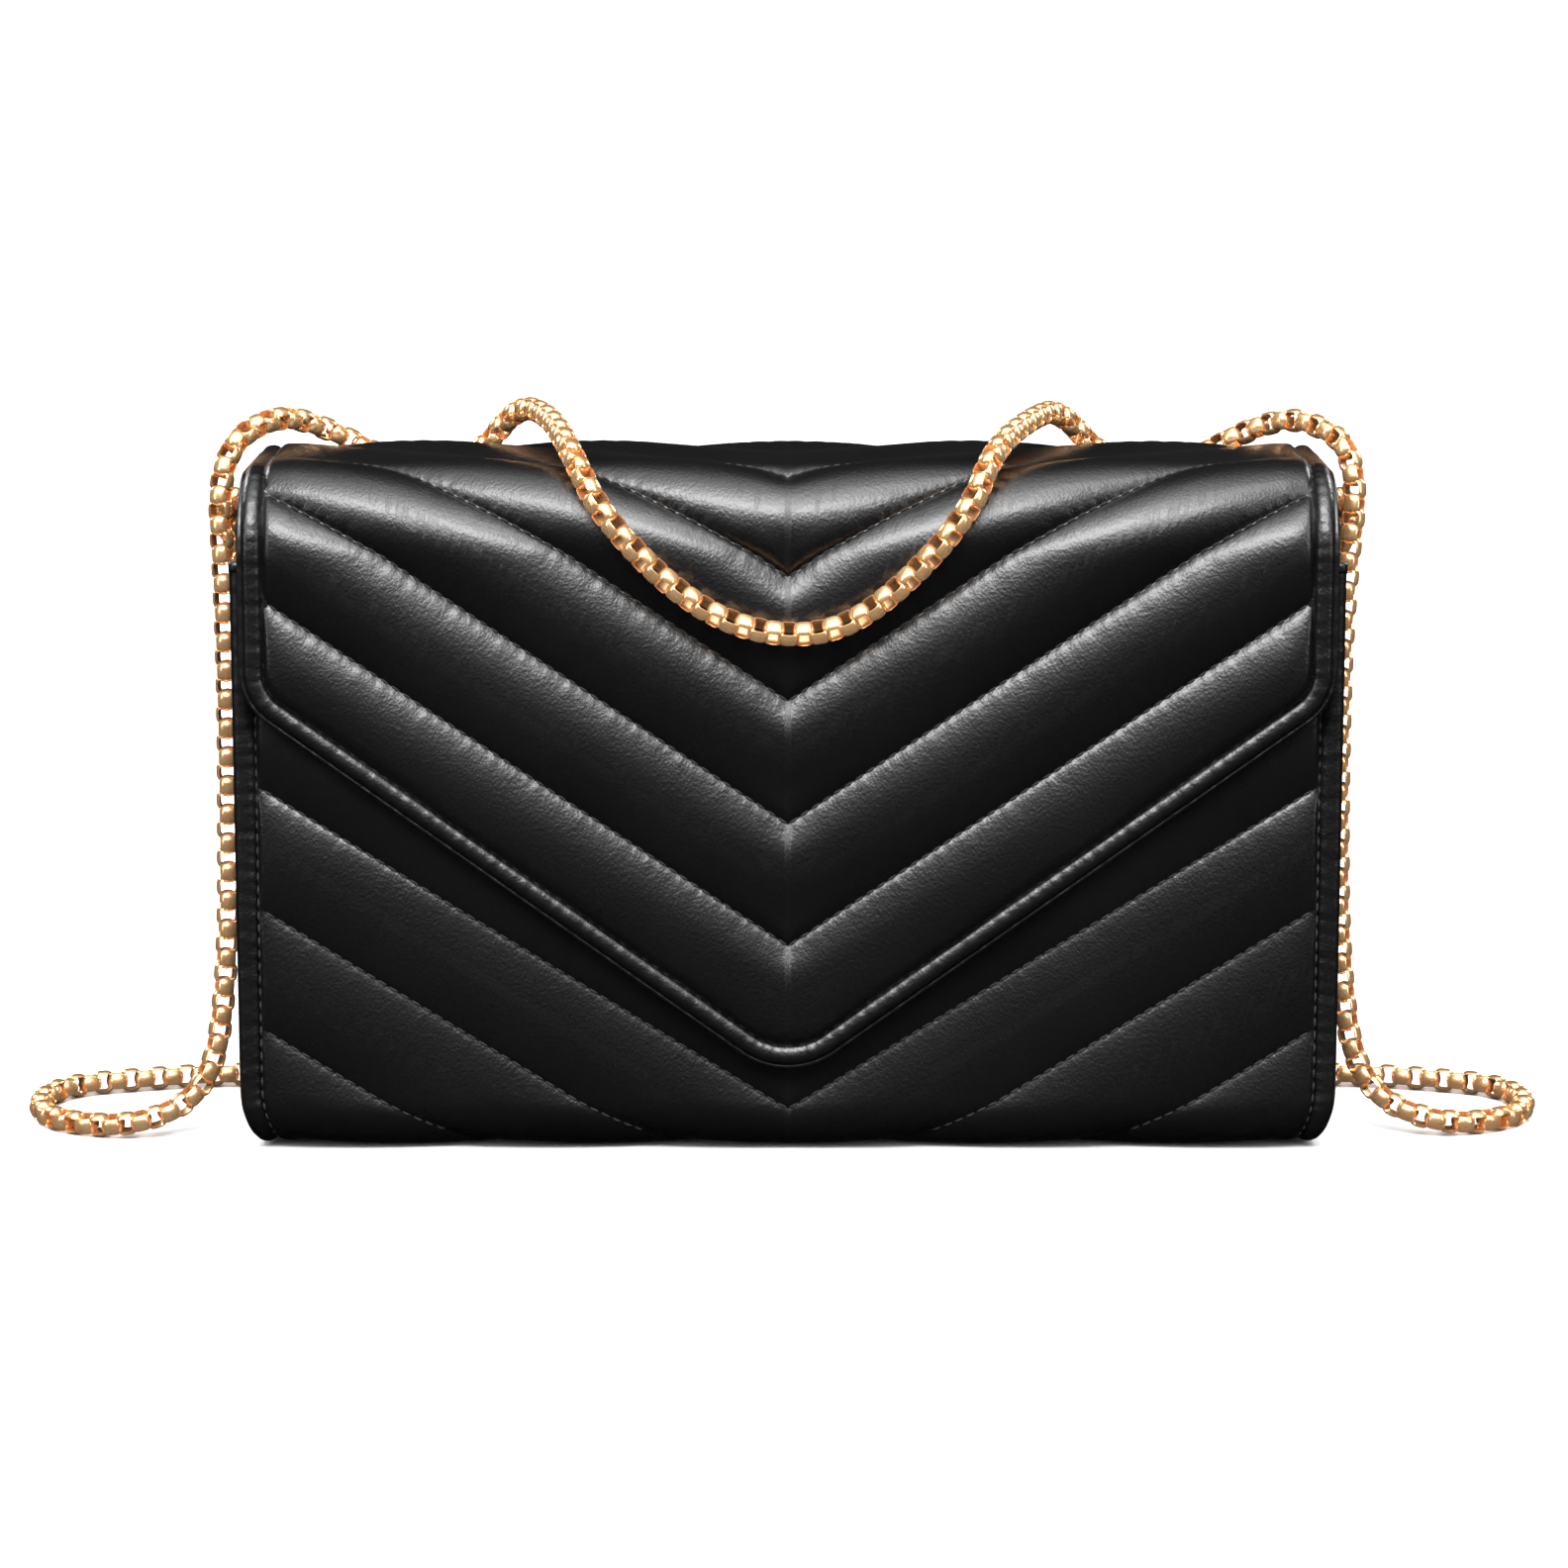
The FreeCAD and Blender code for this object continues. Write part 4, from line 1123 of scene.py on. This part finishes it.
# the zip's window in the back lining, and the slightly narrower one in the pouch behind it
WINDOW_HALF, POUCH_HALF = 68.0, 66.0
WINDOW_HEIGHTS = (92.0, 102.0)
LINING_CORNER_R = 6.0


def snapped(values, edges):
    """Values with the nearest one moved onto each edge."""
    values = values.copy()
    for edge in edges:
        values[np.argmin(np.abs(values - edge))] = edge
    return values


def in_window(centres, across):
    """Which faces lie inside the zip's window, between two places across."""
    x, _, z = centres.T
    return (x > across[0]) & (x < across[1]) & (z > WINDOW_HEIGHTS[0]) & (z < WINDOW_HEIGHTS[1])


def make_lining():
    """The cloth bag inside: down the front, across the floor and up the back, with its two ends."""
    low, high, half = lining_low, lining_high, lining_high[0]
    section = rounded_path([(low[1], high[2]), (low[1], low[2]), (high[1], low[2]), (high[1], high[2])],
                           [LINING_CORNER_R, LINING_CORNER_R], 2.0)
    back = section[:, 0] > high[1] - 0.01
    section[back, 1] = snapped(section[back, 1], WINDOW_HEIGHTS)
    window = (-WINDOW_HALF, WINDOW_HALF)
    xs = np.unique(np.concatenate([np.linspace(-half, half, 120), window]))
    rows = []
    for y, z in section:
        inward = 1 if y < 0 else -1
        soft = 0.35 * np.sin(xs / 13 + z / 9) * np.cos(z / 12) * np.clip((half - np.abs(xs)) / 12, 0, 1)
        rows.append(np.stack([xs, y + inward * (0.3 + np.abs(soft)), z + 0 * xs], axis=1))
    rows = np.array(rows)
    points = rows.reshape(-1, 3)
    faces = grid_faces(len(rows), len(xs))
    centre = points[faces].mean(axis=1)
    hole = (centre[:, 1] > high[1] - 2) & in_window(centre, window)
    sheet = piece("lining_wall", points, faces[~hole], lining_cloth, "bag")
    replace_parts(sheet, "lining")
    for side, sign in SIDES:
        share, y, z = end_wall(low, high, LINING_CORNER_R, 60, 30)
        fold = 0.3 * np.sin(math.pi * share) * np.abs(np.sin(z / 15))
        points = point_rows(sign * (half - 0.1 - fold), y, z)
        faces = grid_faces(*z.shape)[:, ::-sign]
        piece("lining_end_" + side, points, faces, lining_cloth, "bag")


def soft_panel(name, node, material, facing, bulge, window=None):
    """A flat sewn panel: two sheets joined round the rim, full in the middle, perhaps with a window."""
    low, high = box_mm(node)
    xs = np.linspace(low[0], high[0], 90)
    zs = np.linspace(low[2], high[2], 60)
    if window:
        xs, zs = snapped(xs, window), snapped(zs, WINDOW_HEIGHTS)
    x, z = np.meshgrid(xs, zs)
    rim = np.minimum(np.minimum(x - low[0], high[0] - x), np.minimum(z - low[2], high[2] - z))
    wave = 0.5 + 0.5 * np.sin(x / 8.5 + z / 21)
    near, far = (high[1], low[1]) if facing > 0 else (low[1], high[1])
    outer = near - facing * (0.5 - crown(rim, 14.0) * (0.35 + bulge * wave) * 0.5)
    front, back = point_rows(x, outer, z), point_rows(x, far + facing * 0.05, z)
    faces = grid_faces(len(zs), len(xs))
    kept = faces[~in_window(front[faces].mean(axis=1), window)] if window else faces
    rim_loop = np.concatenate([
        np.arange(len(xs)),
        np.arange(1, len(zs)) * len(xs) + len(xs) - 1,
        (len(zs) - 1) * len(xs) + np.arange(len(xs) - 2, -1, -1),
        np.arange(len(zs) - 2, 0, -1) * len(xs),
    ])
    size = len(front)
    wall = [(a, b, b + size, a + size)[::facing] for a, b in zip(rim_loop, np.roll(rim_loop, -1))]
    faces = kept[:, ::-facing].tolist() + (faces[:, ::facing] + size).tolist() + wall
    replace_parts(piece(name, np.vstack([front, back]), faces, material, "bag"), node)


def make_zip_tape(which):
    """Woven tape beside the teeth, with a slightly rippled free edge."""
    low, high = box_mm("zip_tape_" + which)
    x, z = np.meshgrid(np.linspace(low[0], high[0], 150), np.linspace(low[2], high[2], 8))
    y = low[1] + 0.1 + 0.08 * np.sin(x / 4.5)
    front, back = point_rows(x, y, z), point_rows(x, y + 0.3, z)
    faces = grid_faces(*z.shape)
    both = np.vstack([faces, faces[:, ::-1] + len(front)])
    made = piece("tape_" + which, np.vstack([front, back]), both, tape_cloth, "bag")
    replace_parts(made, "zip_tape_" + which)


make_lining()
soft_panel("slip_pocket_cloth", "slip_pocket", lining_cloth, 1, 0.25)
soft_panel("zip_pouch_cloth", "zip_pouch", lining_cloth, -1, 0.05,
           window=(-POUCH_HALF, POUCH_HALF))
for which in ("upper", "lower"):
    make_zip_tape(which)
soft_panel("back_facing_leather", "back_facing", gusset_leather, -1, 0.0)


# ---- finishes of the CAD pieces that stay

SHARP_ANGLE = math.radians(35)
ZIP_NODES = ["zip_" + part for part in
             ("teeth_upper", "teeth_lower", "stop_left", "stop_right", "slider", "puller")]
SNAP_NODES = ["snap_socket", "snap_socket_backplate", "snap_stud", "snap_stud_backplate"]
FITTING_NODES = [node + side for node in ("dring_", "clasp_", "clasp_gate_", "clasp_eye_")
                 for side in ("left", "right")]


def finish_nodes(nodes, material):
    for node in nodes:
        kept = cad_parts[node]
        kept.data.materials.clear()
        kept.data.materials.append(material)
        kept.data.shade_smooth()
        kept.data.set_sharp_from_angle(angle=SHARP_ANGLE)


finish_nodes(["front_board", "back_board", "base_board"], board_paper)
finish_nodes(ZIP_NODES, fitting_gold)
finish_nodes(SNAP_NODES, snap_steel)
finish_nodes(FITTING_NODES, fitting_gold)
